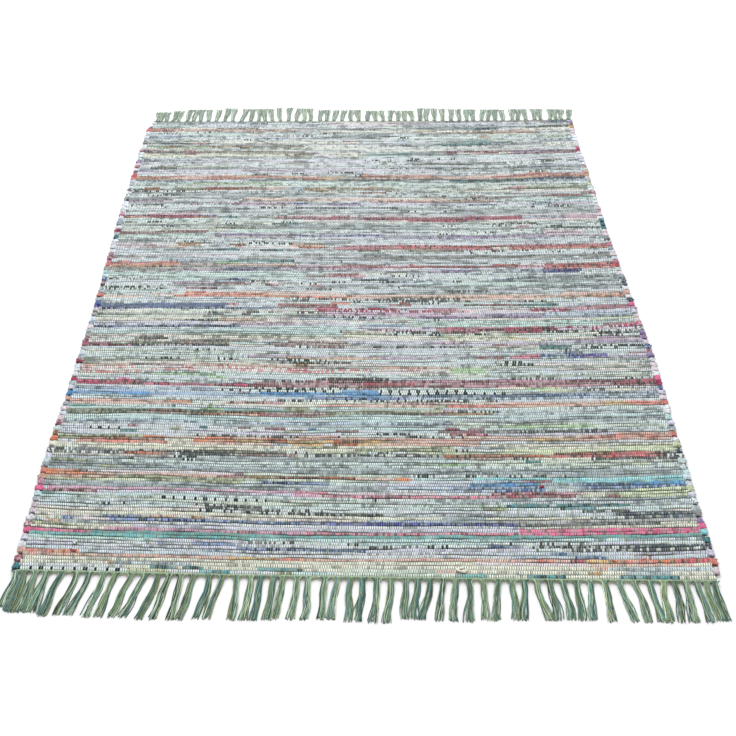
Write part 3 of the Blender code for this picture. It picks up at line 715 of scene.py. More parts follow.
def print_rags(plan, dice):
    """The colour of each half strip at each warp end, with the pale backs and the prints."""
    rags = list(RAGS.values())
    cloth = np.array([bare(rag.cloth) for rag in rags])[plan]
    ink = np.array([bare(rag.ink) * INK_DEPTH for rag in rags])[plan]
    share = np.array([rag.share for rag in rags])[plan]
    mark = np.array([rag.mark for rag in rags])[plan]

    turned = REVERSE_EDGE * drift_halves(dice, REVERSE_DRIFT) - REVERSE_RARE
    turned = np.clip(turned, 0.0, 1.0)[..., None] * REVERSE
    cloth = cloth + (BACK_KEEP * cloth + BACK_PALE - cloth) * turned

    fine = 0.9 * dice.uniform(size=(PICKS, 1, ENDS + 1)) + dice.uniform(size=plan.shape)
    chance = np.broadcast_to(np.arange(ENDS + 1) % SQUARE / SQUARE, plan.shape)
    soft = np.full(plan.shape, SHARP)
    for size, kind in enumerate(MARKS, 1):
        blurred = sum(np.roll(fine, shift, axis=2) for shift in range(kind.ends))
        chance = np.where(mark == size, even_shares(blurred), chance)
        soft = np.where(mark == size, kind.soft, soft)
    crowd = np.clip(1.0 + CROWDING * drift_halves(dice, CROWD_DRIFT), *CROWD_LIMITS)
    crowd = np.where(mark > len(MARKS), 1.0, crowd)
    printed = np.clip((share * crowd - chance) / soft + 0.5, 0.0, 1.0)[..., None]
    return cloth + (ink - cloth) * printed


def fade_rags(cloth, width, dice):
    """The same colours, lightness wandering at random, greyed by wear and fading, with painted light and
    shade.
    """
    row = (np.arange(PICKS) / PICKS)[:, None, None]
    # painted light that changes along the rug, over the strips' randomly wandering lightness
    light = sum_drifts(dice, STRIP_DRIFTS)[:, None] + BRIGHTNESS + ROW_PAINTED_LIGHT * (row - ROW_LEVEL)
    # painted shade on thin strips, which lie lower than their neighbours
    light = light + STRIP_WIDTH_SHADE * (width[:, None] - 1.0)
    for wander in HALF_DRIFTS:
        light = light + wander.much * drift_halves(dice, wander.ends)
    light = light + dice.uniform(-SPOTTED, SPOTTED, light.shape)
    light = light + dice.uniform(-STRIPED, STRIPED, (PICKS, 1, 1))
    red = RED_DRIFT.much * drift(dice, RED_DRIFT.ends)
    blue = BLUE_DRIFT.much * drift(dice, BLUE_DRIFT.ends)
    warmth = np.stack([red, np.zeros_like(red), blue], -1)
    cloth = cloth * (light[..., None] + warmth[:, None])
    grey = cloth @ LUMINANCE
    cloth = cloth + (grey[..., None] - cloth) * (DULL + ROW_DULL * row ** DULL_CURVE)[..., None]
    cloth = cloth * np.minimum(1.0, LIGHTEST / np.maximum(cloth.max(-1, keepdims=True), 0.01))
    return np.clip(cloth, 0.0, 1.0)


def seam_shades(width, dice):
    """How dark each seam's painted shade is at every warp end: darkest where the strips beside it are thin.
    """
    shade = SEAM_SHADE + SEAM_LONG.much * spread(dice, 1, SEAM_LONG.ends)
    shade = shade + SEAM_SHORT.much * spread(dice, 1, SEAM_SHORT.ends)
    seam = np.arange(PICKS + 1)
    shade = shade * (1.0 + SEAM_FAR * seam / PICKS)[:, None]
    thin = np.zeros((PICKS + 1, ENDS + 1))
    thin[1:] += 1.0 - width
    thin[:-1] += 1.0 - width
    held = np.clip(np.minimum(seam, PICKS - seam) / SEAM_HOLD, SEAM_END, 1.0)[:, None]
    return np.clip((shade + SEAM_THIN * thin) * held, SEAM_LEAST, 1.0)


dice = np.random.default_rng(BANK_SEED)
seam_sway = sway_seams(dice)
strip_width = 1.0 + np.diff(seam_sway, axis=0) / PICK
rag_colours = fade_rags(print_rags(draft_rags(dice), dice), strip_width, dice)
rag_bulk = sum_drifts(dice, BULK_DRIFTS)
seam_shade = seam_shades(strip_width, dice)


def add_node(tree, kind, **settings):
    """A shader node with its settings."""
    node = tree.nodes.new(kind)
    for name, value in settings.items():
        setattr(node, name, value)
    return node


def feed(tree, socket, value):
    """Give a socket another node's output, or a plain number."""
    if isinstance(value, bpy.types.NodeSocket):
        tree.links.new(value, socket)
    else:
        socket.default_value = value


def calc(tree, operation, *values):
    """A Math node's result."""
    node = add_node(tree, "ShaderNodeMath", operation=operation)
    for socket, value in zip(node.inputs, values):
        feed(tree, socket, value)
    return node.outputs["Value"]


def read_layout(tree, name):
    """The two coordinates of one of a mesh's layouts."""
    layout = add_node(tree, "ShaderNodeUVMap", uv_map=name)
    parts = add_node(tree, "ShaderNodeSeparateXYZ")
    tree.links.new(layout.outputs["UV"], parts.inputs["Vector"])
    return parts.outputs["X"], parts.outputs["Y"]


def raise_surface(tree, shader, height, strength, distance):
    """Give a shader relief from a height."""
    bump = add_node(tree, "ShaderNodeBump")
    bump.inputs["Strength"].default_value = strength
    bump.inputs["Distance"].default_value = distance
    tree.links.new(height, bump.inputs["Height"])
    tree.links.new(bump.outputs["Normal"], shader.inputs["Normal"])


def ease(tree, value, low, high, to_low, to_high):
    """A smooth step of a value from one range to another."""
    node = add_node(tree, "ShaderNodeMapRange", interpolation_type="SMOOTHSTEP")
    for name, number in (("Value", value), ("From Min", low), ("From Max", high),
                         ("To Min", to_low), ("To Max", to_high)):
        feed(tree, node.inputs[name], number)
    return node.outputs["Result"]


def blend_colours(tree, factor, first, second, mode="MIX"):
    """Two colours mixed by a factor."""
    node = add_node(tree, "ShaderNodeMix", data_type="RGBA", blend_type=mode)
    feed(tree, node.inputs["Factor"], factor)
    feed(tree, node.inputs["A"], first)
    feed(tree, node.inputs["B"], second)
    return node.outputs["Result"]


def cotton_material(name, roughness):
    """A matt cotton with a little sheen; returns the material, its tree and its shader."""
    material = bpy.data.materials.new(name)
    material.use_nodes = True
    shader = material.node_tree.nodes["Principled BSDF"]
    shader.inputs["Roughness"].default_value = roughness
    shader.inputs["Specular IOR Level"].default_value = 0.12
    shader.inputs["Sheen Weight"].default_value = 0.05
    shader.inputs["Sheen Roughness"].default_value = 0.6
    return material, material.node_tree, shader


def cloth_grain_group():
    """Creases that run along a rag, over the fine threads of its cloth: relief, and painted shade and
    highlight.
    """
    group = bpy.data.node_groups.new("cloth grain and shade", "ShaderNodeTree")
    group.interface.new_socket("Crease Scale", in_out="INPUT", socket_type="NodeSocketFloat")
    group.interface.new_socket("Thread Scale", in_out="INPUT", socket_type="NodeSocketFloat")
    group.interface.new_socket("Along", in_out="INPUT", socket_type="NodeSocketVector")
    group.interface.new_socket("Shade", in_out="OUTPUT", socket_type="NodeSocketFloat")
    group.interface.new_socket("Height", in_out="OUTPUT", socket_type="NodeSocketFloat")
    entry = group.nodes.new("NodeGroupInput")
    leave = group.nodes.new("NodeGroupOutput")
    place = group.nodes.new("ShaderNodeTexCoord").outputs["Object"]
    stretch = add_node(group, "ShaderNodeVectorMath", operation="MULTIPLY")
    group.links.new(place, stretch.inputs[0])
    group.links.new(entry.outputs["Along"], stretch.inputs[1])
    crease = add_node(group, "ShaderNodeTexNoise")
    crease.inputs["Detail"].default_value = 3.0
    crease.inputs["Distortion"].default_value = 0.6
    group.links.new(stretch.outputs["Vector"], crease.inputs["Vector"])
    group.links.new(entry.outputs["Crease Scale"], crease.inputs["Scale"])
    threads = add_node(group, "ShaderNodeTexNoise")
    threads.inputs["Detail"].default_value = 1.0
    group.links.new(place, threads.inputs["Vector"])
    group.links.new(entry.outputs["Thread Scale"], threads.inputs["Scale"])
    both = calc(group, "MULTIPLY_ADD", threads.outputs["Fac"], 0.25, crease.outputs["Fac"])
    group.links.new(both, leave.inputs["Height"])
    # painted shade and highlight of the creases and threads, to multiply a colour by
    group.links.new(ease(group, both, 0.40, 0.85, 0.70, 1.18), leave.inputs["Shade"])
    return group


grain_and_shade_group = cloth_grain_group()


def rag_grain(tree, along):
    """The cloth's threads, creases and painted shade on a piece; creases drawn out so much in x, y, z."""
    grain_and_shade = add_node(tree, "ShaderNodeGroup", node_tree=grain_and_shade_group)
    grain_and_shade.inputs["Crease Scale"].default_value = 1.0
    grain_and_shade.inputs["Thread Scale"].default_value = 2600.0
    grain_and_shade.inputs["Along"].default_value = along
    return grain_and_shade


# Warp yarns, the same ones that end in the fringe.
WARP_TONES = (
    (140, 156, 138), (106, 128, 118), (160, 174, 158), (118, 130, 104), (98, 122, 126),
    (146, 160, 140),
)
DARK_END = (70, 90, 78)
DARK_EVERY = 6.0             # one yarn in so many is dark
THREAD_HALF = 0.27           # half a yarn's width, in warp ends, and how blurred its edge is
THREAD_BLUR = 0.05
THREAD_SIDE_SHADE = 0.62           # how light a yarn's sides are painted: painted shade on its round sides
THREAD_RISE = 1.2            # relief of a yarn and of a seam, against that of the cloth's grain
SEAM_DROP = 1.2
CROWN_REACH = (0.08, 0.42)   # from where to where a strip goes from its painted highlight to its painted shade
CREST_HIGHLIGHT = 1.06           # how light a strip is painted along its middle and its edges: painted highlight, painted shade
EDGE_PAINTED_SHADE = 0.82
PINCH_SHADE = 0.30                 # how dark a rag is painted under a warp yarn: painted shade where the yarn nips it
PINCH_SHADE_COLOUR = (0.05, 0.06, 0.055, 1.0)
SEAM_START = 0.44            # where a seam's painted shade starts, in strips from the middle of its own
SEAM_WIDER = -0.24           # and how much sooner where it is darkest
# the colour of the painted shade in the seams
SEAM_SHADE_COLOUR = (0.010, 0.014, 0.013, 1.0)


def weave_material():
    """Rags from the field's own colours and warp yarns over every second nip, with painted shade and
    highlight.
    """
    material, tree, shader = cotton_material("rag_weave", 0.88)
    end, pick = read_layout(tree, "weave")
    number = calc(tree, "FLOOR", calc(tree, "ADD", end, 0.5))
    off = calc(tree, "ABSOLUTE", calc(tree, "SUBTRACT", end, number))
    rise = calc(tree, "ABSOLUTE", calc(tree, "SUBTRACT", calc(tree, "FRACT", pick), 0.5))
    parity = calc(tree, "ADD", number, calc(tree, "FLOOR", pick))
    over = calc(tree, "LESS_THAN", calc(tree, "FRACT", calc(tree, "MULTIPLY", parity, 0.5)), 0.25)
    inside = ease(tree, off, THREAD_HALF - THREAD_BLUR, THREAD_HALF + THREAD_BLUR, 1.0, 0.0)
    thread = calc(tree, "MULTIPLY", over, inside)

    any_tone = add_node(tree, "ShaderNodeTexWhiteNoise", noise_dimensions="1D")
    tree.links.new(number, any_tone.inputs["W"])
    tones = add_node(tree, "ShaderNodeValToRGB")
    tones.color_ramp.interpolation = "CONSTANT"
    while len(tones.color_ramp.elements) < len(WARP_TONES):
        tones.color_ramp.elements.new(0.5)
    for index, tone in enumerate(WARP_TONES):
        tones.color_ramp.elements[index].position = index / len(WARP_TONES)
        tones.color_ramp.elements[index].color = (*bare(tone), 1.0)
    tree.links.new(any_tone.outputs["Value"], tones.inputs["Fac"])
    count = calc(tree, "FRACT", calc(tree, "DIVIDE", number, DARK_EVERY))
    dark = calc(tree, "LESS_THAN", count, 0.1)
    warp = blend_colours(tree, dark, tones.outputs["Color"], (*bare(DARK_END), 1.0))
    # painted shade on the warp yarn's round sides
    side_shade = ease(tree, off, 0.0, THREAD_HALF, 1.0, THREAD_SIDE_SHADE)
    warp = blend_colours(tree, 1.0, warp, side_shade, "MULTIPLY")

    grain_and_shade = rag_grain(tree, (75.0, 340.0, 200.0))
    dyed = add_node(tree, "ShaderNodeVertexColor", layer_name="rag_colour")
    # the creases' painted shade and highlight on the rag's colour
    rag = blend_colours(tree, 1.0, dyed.outputs["Color"], grain_and_shade.outputs["Shade"], "MULTIPLY")
    # painted shade on the rag where a warp yarn nips it
    rag = blend_colours(tree, calc(tree, "MULTIPLY", over, PINCH_SHADE), rag, PINCH_SHADE_COLOUR)
    # painted highlight along each strip's crest and painted shade at its edges
    crest_light_and_shade = ease(tree, rise, *CROWN_REACH, CREST_HIGHLIGHT, EDGE_PAINTED_SHADE)
    rag = blend_colours(tree, 1.0, rag, crest_light_and_shade, "MULTIPLY")
    colour = blend_colours(tree, thread, rag, warp)
    # painted shade in the seams between strips
    edge = calc(tree, "MULTIPLY_ADD", dyed.outputs["Alpha"], SEAM_WIDER, SEAM_START)
    seam_shadow = ease(tree, rise, edge, 0.5, 0.0, dyed.outputs["Alpha"])
    colour = blend_colours(tree, seam_shadow, colour, SEAM_SHADE_COLOUR)
    tree.links.new(colour, shader.inputs["Base Color"])

    bowed = ease(tree, off, 0.0, THREAD_HALF + THREAD_BLUR, 1.0, 0.2)
    bowed = calc(tree, "MULTIPLY", thread, bowed)
    height = calc(tree, "MULTIPLY_ADD", bowed, THREAD_RISE, grain_and_shade.outputs["Height"])
    height = calc(tree, "SUBTRACT", height, calc(tree, "MULTIPLY", seam_shadow, SEAM_DROP))
    raise_surface(tree, shader, height, strength=0.6, distance=0.0006)
    return material


def read_points(mesh):
    """Where the points of a mesh are."""
    points = np.zeros(len(mesh.vertices) * 3, np.float32)
    mesh.vertices.foreach_get("co", points)
    return points.reshape(-1, 3)


def read_corners(mesh):
    """The point at each corner of a mesh's faces."""
    corners = np.zeros(len(mesh.loops), np.int32)
    mesh.loops.foreach_get("vertex_index", corners)
    return corners


def paint_mesh(mesh, name, domain, colours):
    """Write a colour for each corner or each point of a mesh."""
    layer = mesh.color_attributes.new(name, "FLOAT_COLOR", domain)
    layer.data.foreach_set("color", colours.ravel())


def lay_out(mesh, name, across, along):
    """Write two coordinates for each corner of a mesh."""
    layout = mesh.uv_layers.new(name=name)
    layout.uv.foreach_set("vector", np.stack([across, along], -1).ravel().astype(np.float32))


def add_piece(mesh, material):
    """A mesh in its material, as an object of the same name."""
    mesh.materials.append(material)
    return add_object(mesh.name, mesh)


def band_grid():
    """A flat closed slab of unit size: single warp ends on top, coarser underneath."""
    slab = bmesh.new()
    rows = PICKS * HALVES // BANDS
    bmesh.ops.create_grid(slab, x_segments=ENDS // COARSE, y_segments=rows, size=0.5)
    raised = bmesh.ops.extrude_face_region(slab, geom=slab.faces[:])["geom"]
    for item in raised:
        if isinstance(item, bmesh.types.BMVert):
            item.co.z = 1.0
    bmesh.ops.recalc_face_normals(slab, faces=slab.faces[:])
    across = [
        edge for edge in slab.edges
        if edge.verts[0].co.z > 0.5 and edge.verts[1].co.z > 0.5
        and abs(edge.verts[0].co.y - edge.verts[1].co.y) < 0.5 / rows
    ]
    bmesh.ops.subdivide_edges(slab, edges=across, cuts=COARSE - 1)
    return slab


def read_flat(mesh):
    """A slab's points as warp ends across, half strips along and top or not."""
    flat = read_points(mesh)
    end = np.rint((flat[:, 0] + 0.5) * ENDS).astype(int)
    row = np.rint((flat[:, 1] + 0.5) * PICKS * HALVES / BANDS).astype(int)
    return end, row, flat[:, 2] > 0.5


def shape_band(mesh, end, row, top, first_row):
    """Move a slab's points to the ribs, nips and bow of the real cloth."""
    whole_row = row + first_row
    x = (end / ENDS - 0.5) * WEAVE_WIDTH
    y = (whole_row / (PICKS * HALVES) - 0.5) * WEAVE_LENGTH
    y = y + weft_line(x, y)
    seam = whole_row // HALVES
    ahead = np.minimum(seam + whole_row % HALVES, PICKS)
    y = y + (seam_sway[seam, end] + seam_sway[ahead, end]) / 2.0
    y = y + END_SPREAD * (whole_row == PICKS * HALVES) - END_SPREAD * (whole_row == 0)
    pick = np.clip(whole_row // HALVES, 0, PICKS - 1)
    crest = whole_row % HALVES == 1
    nipped = (end + pick) % 2 == 0
    bulk = rag_bulk[pick, end] * BULK
    full = FULLNESS * PICK * (strip_width[pick, end] - 1.0)
    high = CREST + bulk + np.where(nipped, -NIP, PUFF) + full
    z = np.where(crest, high, VALLEY + VALLEY_BULK * bulk - SLIT * seam_shade[seam, end])
    under = np.where(crest, 0.0, UNDER_VALLEY)
    x = x + edge_line(x, y)
    mesh.vertices.foreach_set("co", np.stack([x, y, np.where(top, z, under)], -1).ravel())


# The layout for baking: the left and the right half of the top, the underside and the walls, one
# above the other. For each of them, where it starts and how high it is.
Part = namedtuple("Part", "start high")
BAKE_LEFT = Part(0.005, 0.395)
BAKE_RIGHT = Part(0.41, 0.395)
BAKE_UNDER = Part(0.82, 0.12)
BAKE_WALLS = Part(0.96, 0.03)
BAKE_MARGIN = 0.004


def dress_band(mesh, end, row, top, first_row):
    """Write the rags' colours, the weave's coordinates and the layout for baking."""
    corners = read_corners(mesh)
    sizes = np.zeros(len(mesh.polygons), np.int32)
    mesh.polygons.foreach_get("loop_total", sizes)
    face = np.repeat(np.arange(len(sizes)), sizes)
    middle_row = np.bincount(face, row[corners]) / sizes
    middle_end = np.bincount(face, end[corners]) / sizes
    roof = (np.bincount(face, top[corners]) == sizes)[face]
    wall = ((np.bincount(face, top[corners]) % sizes) != 0)[face]
    half_row = np.clip(np.floor(middle_row[face]), 0, PICKS * HALVES // BANDS - 1).astype(int)
    whole = half_row + first_row
    pillow = np.floor(middle_end[face]).astype(int)
    pillow = np.minimum(pillow + (pillow + whole // HALVES + 1) % 2, ENDS)
    colour = np.ones((len(corners), 4))
    colour[:, :3] = rag_colours[whole // HALVES, whole % HALVES, pillow]
    # the alpha carries the painted shade of the seam at each corner
    colour[:, 3] = seam_shade[whole // HALVES + whole % HALVES, end[corners]]
    paint_mesh(mesh, "rag_colour", "CORNER", colour)
    lay_out(mesh, "weave", end[corners], (row[corners] + first_row) / HALVES)

    right = middle_end[face] > ENDS / 2
    share = end[corners] / ENDS
    along = row[corners] / (PICKS * HALVES / BANDS)
    u = np.where(roof, np.where(right, share * 2.0 - 1.0, share * 2.0), share)
    u = BAKE_MARGIN + u * (1.0 - 2.0 * BAKE_MARGIN)
    left_v, right_v, under_v = (
        part.start + part.high * along for part in (BAKE_LEFT, BAKE_RIGHT, BAKE_UNDER)
    )
    v = np.where(roof, np.where(right, right_v, left_v), under_v)
    v = np.where(wall, BAKE_WALLS.start + BAKE_WALLS.high * top[corners], v)
    lay_out(mesh, "OFBake", u, v)
    mesh.uv_layers.active = mesh.uv_layers["weave"]


def weave_band(number, material):
    """One band of the field, from its slab to a finished piece."""
    mesh = close_mesh(band_grid(), f"woven_band_{number + 1}")
    end, row, top = read_flat(mesh)
    first_row = number * PICKS * HALVES // BANDS
    shape_band(mesh, end, row, top, first_row)
    dress_band(mesh, end, row, top, first_row)
    mesh.shade_smooth()
    band = add_piece(mesh, material)
    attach(band, "root")
    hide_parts("woven_field")


rag_weave = weave_material()
for number in range(BANDS):
    weave_band(number, rag_weave)


# --- the selvedges ---------------------------------------------------------------------------
# Each rag turns round the outermost warp end and goes back in the next strip, so both sides are
# a row of soft folds of cloth. No two are the same, because the rags are torn by hand.

FOLD_PLACE = 0.5982          # a fold's middle, from the rug's middle
FOLD_LEVEL = 0.0026          # and its middle's height
FOLD_OUT = (0.0062, 0.0092)  # half sizes of the folds, from the least to the most
FOLD_LONG = (0.0068, 0.0090)
FOLD_HIGH = (0.0046, 0.0057)
FOLD_SIDES = 12
FOLD_RINGS = 8
CRUMPLE = 0.14               # how lumpy a fold is
SQUARENESS = 0.64            # under 1 makes a fold blunt
FOLD_STRAY = 0.0015          # how far a fold lies from its even place
FOLD_END = 0.9040            # no fold reaches further out along the rug
FOLD_LEAST = 0.0003          # nor lower
FOLD_LIGHT = (0.9, 1.3)      # how unevenly light the cloth of a fold is
FOLD_SLIT_SHADE = 0.80             # how dark the folds are where one meets the next: painted shade where they meet
QUIET_FOLDS = "white blush ice white grey white blush mint"

# The bright folds: the strip and the rag.
LEFT_FOLDS = """
0 sea, 3 brick, 5 salmon, 8 lilac, 11 fuchsia, 13 brown, 16 blush, 18 blush, 20 grey, 22 aqua,
24 fuchsia, 26 pink, 29 tan, 31 coral, 33 slate, 36 lilac, 39 ink, 41 cream, 43 orange,
44 ochre, 48 maroon, 52 ice, 53 taupe, 58 salmon, 61 blue, 63 lilac, 66 crimson, 67 crimson,
75 brick, 83 wine, 84 maroon, 85 brick, 87 taupe, 93 steel, 97 taupe, 101 indigo, 103 royal,
106 coral, 107 red, 110 inky, 112 maroon, 113 maroon, 115 navy, 117 aqua, 119 aqua, 121 taupe,
123 coral, 125 rose, 127 brick, 128 maroon, 138 sea, 142 crimson, 143 maroon, 147 slate,
149 steel, 152 pink, 163 charcoal, 165 inky, 169 ink, 172 grey, 175 lilac, 177 coral, 178 red,
180 maroon, 181 indigo, 184 brick, 188 plum, 189 mauve, 196 maroon, 197 charcoal, 202 taupe,
205 grey, 213 coral, 215 brick
"""
RIGHT_FOLDS = """
1 blush, 4 coral, 6 lilac, 8 charcoal, 9 sea, 11 turquoise, 13 fuchsia, 16 plum, 18 taupe,
21 inky, 24 lilac, 26 lime, 29 ice, 31 aqua, 33 inky, 38 ink, 39 charcoal, 41 lime, 45 coral,
46 salmon, 49 lilac, 52 aqua, 57 coral, 58 orange, 61 lilac, 62 indigo, 63 royal, 66 crimson,
67 fuchsia, 71 blush, 74 blush, 77 plum, 79 maroon, 81 navy, 82 ink, 86 plum, 87 plum, 89 inky,
91 berry, 92 rose, 97 lilac, 99 mauve, 101 fuchsia, 104 charcoal, 107 salmon, 108 coral,
112 charcoal, 113 charcoal, 116 slate, 122 red, 123 rose, 129 lilac, 131 slate, 133 rose,
134 maroon, 135 ink, 137 slate, 144 sea, 145 sea, 147 sea, 151 blush, 153 mauve, 166 maroon,
172 lime, 177 tan, 178 gold, 180 tan, 184 brown, 188 lilac, 190 lilac, 195 crimson, 196 maroon,
198 rose, 213 gold, 215 brown, 217 plum
"""


def turn_material():
    """The rag of a fold: its own colour, creased round the turn, with the creases' painted shade."""
    material, tree, shader = cotton_material("rag_turn", 0.9)
    grain_and_shade = rag_grain(tree, (520.0, 170.0, 420.0))
    rag = add_node(tree, "ShaderNodeVertexColor", layer_name="rag_colour").outputs["Color"]
    # the creases' painted shade and highlight on the rag's colour
    rag = blend_colours(tree, 1.0, rag, grain_and_shade.outputs["Shade"], "MULTIPLY")
    tree.links.new(rag, shader.inputs["Base Color"])
    raise_surface(tree, shader, grain_and_shade.outputs["Height"], strength=0.9, distance=0.0015)
    return material


def pick_folds(chart, first, dice):
    """The rag of every fold at one side: the charted one, or a quiet one."""
    bright = dict(entry.split() for entry in chart.replace("\n", " ").split(",") if entry.strip())
    quiet = QUIET_FOLDS.split()
    rags = []
    for pick in range(first, PICKS, 2):
        near = [bright[str(row)] for row in (pick, pick + 1) if str(row) in bright]
        rags.append(near[0] if near else quiet[int(dice.integers(len(quiet)))])
    return rags


def fold_selvedge(name, side, chart, material, dice):
    """The row of folds at one side."""
    first = 0 if side < 0 else 1
    rags = pick_folds(chart, first, dice)
    shell = bmesh.new()
    number = shell.verts.layers.int.new("fold")
    for index in range(len(rags)):
        made = bmesh.ops.create_uvsphere(
            shell, u_segments=FOLD_SIDES, v_segments=FOLD_RINGS, radius=1.0)
        for vert in made["verts"]:
            vert[number] = index
    mesh = close_mesh(shell, name)
    fold = np.zeros(len(mesh.vertices), np.int32)
    mesh.attributes["fold"].data.foreach_get("value", fold)
    ball = read_points(mesh)
    ball = np.sign(ball) * np.abs(ball) ** SQUARENESS

    def each(low, high):
        """A chance value for every fold, at all its points."""
        return dice.uniform(low, high, len(rags))[fold]

    lump = 1.0 + CRUMPLE * np.sin(4.1 * ball[:, 0] + 3.0 * ball[:, 1] + each(0, 6))
    lump += CRUMPLE * np.sin(5.3 * ball[:, 1] - 4.2 * ball[:, 2] + each(0, 6))
    middle = (fold * 2 + first + 1.0) * PICK - WEAVE_LENGTH / 2
    middle = np.clip(middle, -WEAVE_LENGTH / 2 + PICK, WEAVE_LENGTH / 2 - PICK)
    middle = middle + weft_line(side * WEAVE_WIDTH / 2, middle) + each(-FOLD_STRAY, FOLD_STRAY)
    middle = middle + seam_sway[first + 1::2, 0 if side < 0 else ENDS][fold]
    x = side * FOLD_PLACE + edge_line(side * WEAVE_WIDTH / 2, middle)
    x = x + ball[:, 0] * lump * each(*FOLD_OUT)
    y = middle + ball[:, 1] * lump * each(*FOLD_LONG)
    z = FOLD_LEVEL + ball[:, 2] * lump * each(*FOLD_HIGH)
    place = np.stack([x, np.clip(y, -FOLD_END, FOLD_END), np.maximum(z, FOLD_LEAST)], -1)
    mesh.vertices.foreach_set("co", place.ravel())

    cloth = bare([RAGS[rag].cloth for rag in rags])[fold]
    ink = bare([RAGS[rag].ink for rag in rags])[fold]
    share = np.array([RAGS[rag].share for rag in rags])[fold]
    printed = (dice.uniform(size=len(fold)) < share)[:, None]
    colour = np.ones((len(fold), 4))
    # painted shade at the ends of each fold, where it meets the next
    slit_shade = 1.0 - FOLD_SLIT_SHADE * np.clip(4.0 * np.abs(ball[:, 1:2]) - 3.0, 0.0, 1.0)
    light = dice.uniform(*FOLD_LIGHT, (len(fold), 1))
    colour[:, :3] = np.where(printed, ink, cloth) * slit_shade * light
    paint_mesh(mesh, "rag_colour", "POINT", np.clip(colour, 0.0, 1.0))
    mesh.shade_smooth()
    folds = add_piece(mesh, material)
    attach(folds, "root")
    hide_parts("woven_field")


rag_turn = turn_material()
fold_selvedge("left_turns", -1, LEFT_FOLDS, rag_turn, dice)
fold_selvedge("right_turns", 1, RIGHT_FOLDS, rag_turn, dice)


# --- the fringes -----------------------------------------------------------------------------
# The warp yarns run on past the last strip at each end. They are drawn together ten or so at a
# time over a corded edge, knotted tight against the weave, and left hanging as loose tassels.

MM = 0.001
BLUNT = 0.0008               # length of the pointed ends of the yarns along the edge
CORD_PLACE = 0.9030          # the cord's middle, from the rug's middle
CORD_LEVEL = 0.0034
CORD_TURN = 0.021            # one twist of the cord, and the points along it
CORD_STEPS = 6
PLY_OFF = 0.0012             # a ply's middle off the cord's
PLY_HALF = 0.0015
BINDER_RIPPLE = 0.0003       # how far the yarns over the cord rise and fall, and how often
RIPPLE_RATE = 310.0
HEADING_HALF = 0.603         # no yarn comes out further from the rug's middle
TUBE_BEVEL = 1               # a bevel resolution that gives a yarn this many sides
TUBE_SIDES = 6
YARN_HALF = 0.00080
YARN_SIZES = (0.88, 1.15)    # the yarns' widths against that
YARN_COUNTS = (14, 15, 15, 16)
YARN_CUT = (0.925, 1.0)      # a yarn's length against its tassel's
YARN_WAVE = 0.0013           # how far it waves to both sides, and how far round it gets
WAVE_ROUND = 7.0
YARN_LAYER = 0.0010          # how much higher the upper yarns lie, over the cord
YARN_PILE = (0.0012, 0.0022) # and in the tassel
YARN_REST = 1.16             # how high its middle lies, against half its width
YARN_TWIST = 0.006           # one turn of a yarn's plies
GROOVE_START = 0.30          # where the groove between two plies starts, and how dark its painted shade is
GROOVE_SHADE = 0.42
GROOVE_SHADE_COLOUR = (0.03, 0.045, 0.035, 1.0)
YARN_SHADES = (0.57, 1.28)   # from the darkest yarn to the lightest
YARN_MOTTLE = (0.74, 1.26)   # and along one yarn
FAN_HALF = 0.0106            # half the stretch of edge that feeds one tassel
KNOT_HALF = 0.0048
KNOT_DROP = 0.0026           # how much higher a tassel starts than it lies, and where it is down
KNOT_REACH = 0.30
TASSEL_BEND = 0.0026         # how far a tassel bows to one side, and how far to both
TASSEL_WAG = 0.0014
PALE_TONE = (190, 196, 190)
KNOT_SHADE = 0.26            # how light the far yarns are at their knots: painted shade, as they lie in the cloth's shadow
UNDER_SHADE = 0.90           # how dark the yarns are where they lie on others: painted shade on their undersides
CORD_SHADE = 0.16            # and those of the cord
STRAY_SHARE = 0.14           # tassels with a few yarns lying apart, and how far apart
STRAY_OFF = (0.003, 0.006)

# The two ends of the rug: which way they face, how much lower than the near one their cord and
# knots lie, how much their yarns are painted towards a pale tone and how much wider than the near
# ones the tassels fan.
End = namedtuple("End", "name outward sink pale flare")
NEAR_END = End("near", -1.0, 0.0, 0.0, 0.0)
FAR_END = End("far", 1.0, 0.0024, 0.30, 0.30)

# The yarns that run along the edge over the cord: distance from the rug's middle, height, half
# width, how far they dip at each tassel, and colour. One is a thin dark brown one: partly a yarn,
# partly painted shadow under the cord.
Binder = namedtuple("Binder", "out level half dip tone")
BINDERS = (
    Binder(0.9020, 0.0048, 0.00100, 0.0002, (166, 178, 150)),
    Binder(0.9033, 0.0053, 0.00105, 0.0006, (146, 166, 138)),
    Binder(0.9046, 0.0050, 0.00105, 0.0012, (164, 174, 140)),
    Binder(0.9058, 0.0042, 0.00105, 0.0019, (138, 158, 134)),
    # a thin brown yarn, darkened as painted shadow under the cord
    Binder(0.9067, 0.0034, 0.00055, 0.0023, (156, 126, 104)),
    Binder(0.9072, 0.0022, 0.00080, 0.0027, (176, 186, 158)),
)

# A yarn's way out of the weave: distance from the rug's middle, share of its place in the fan,
# and height.
Step = namedtuple("Step", "out fan level")
FAN = (
    Step(0.9036, 1.00, 0.0050),
    Step(0.9050, 0.86, 0.0062),
    Step(0.9066, 0.62, 0.0058),
    Step(0.9082, 0.44, 0.0048),
    Step(0.9100, 0.37, 0.0040),
)
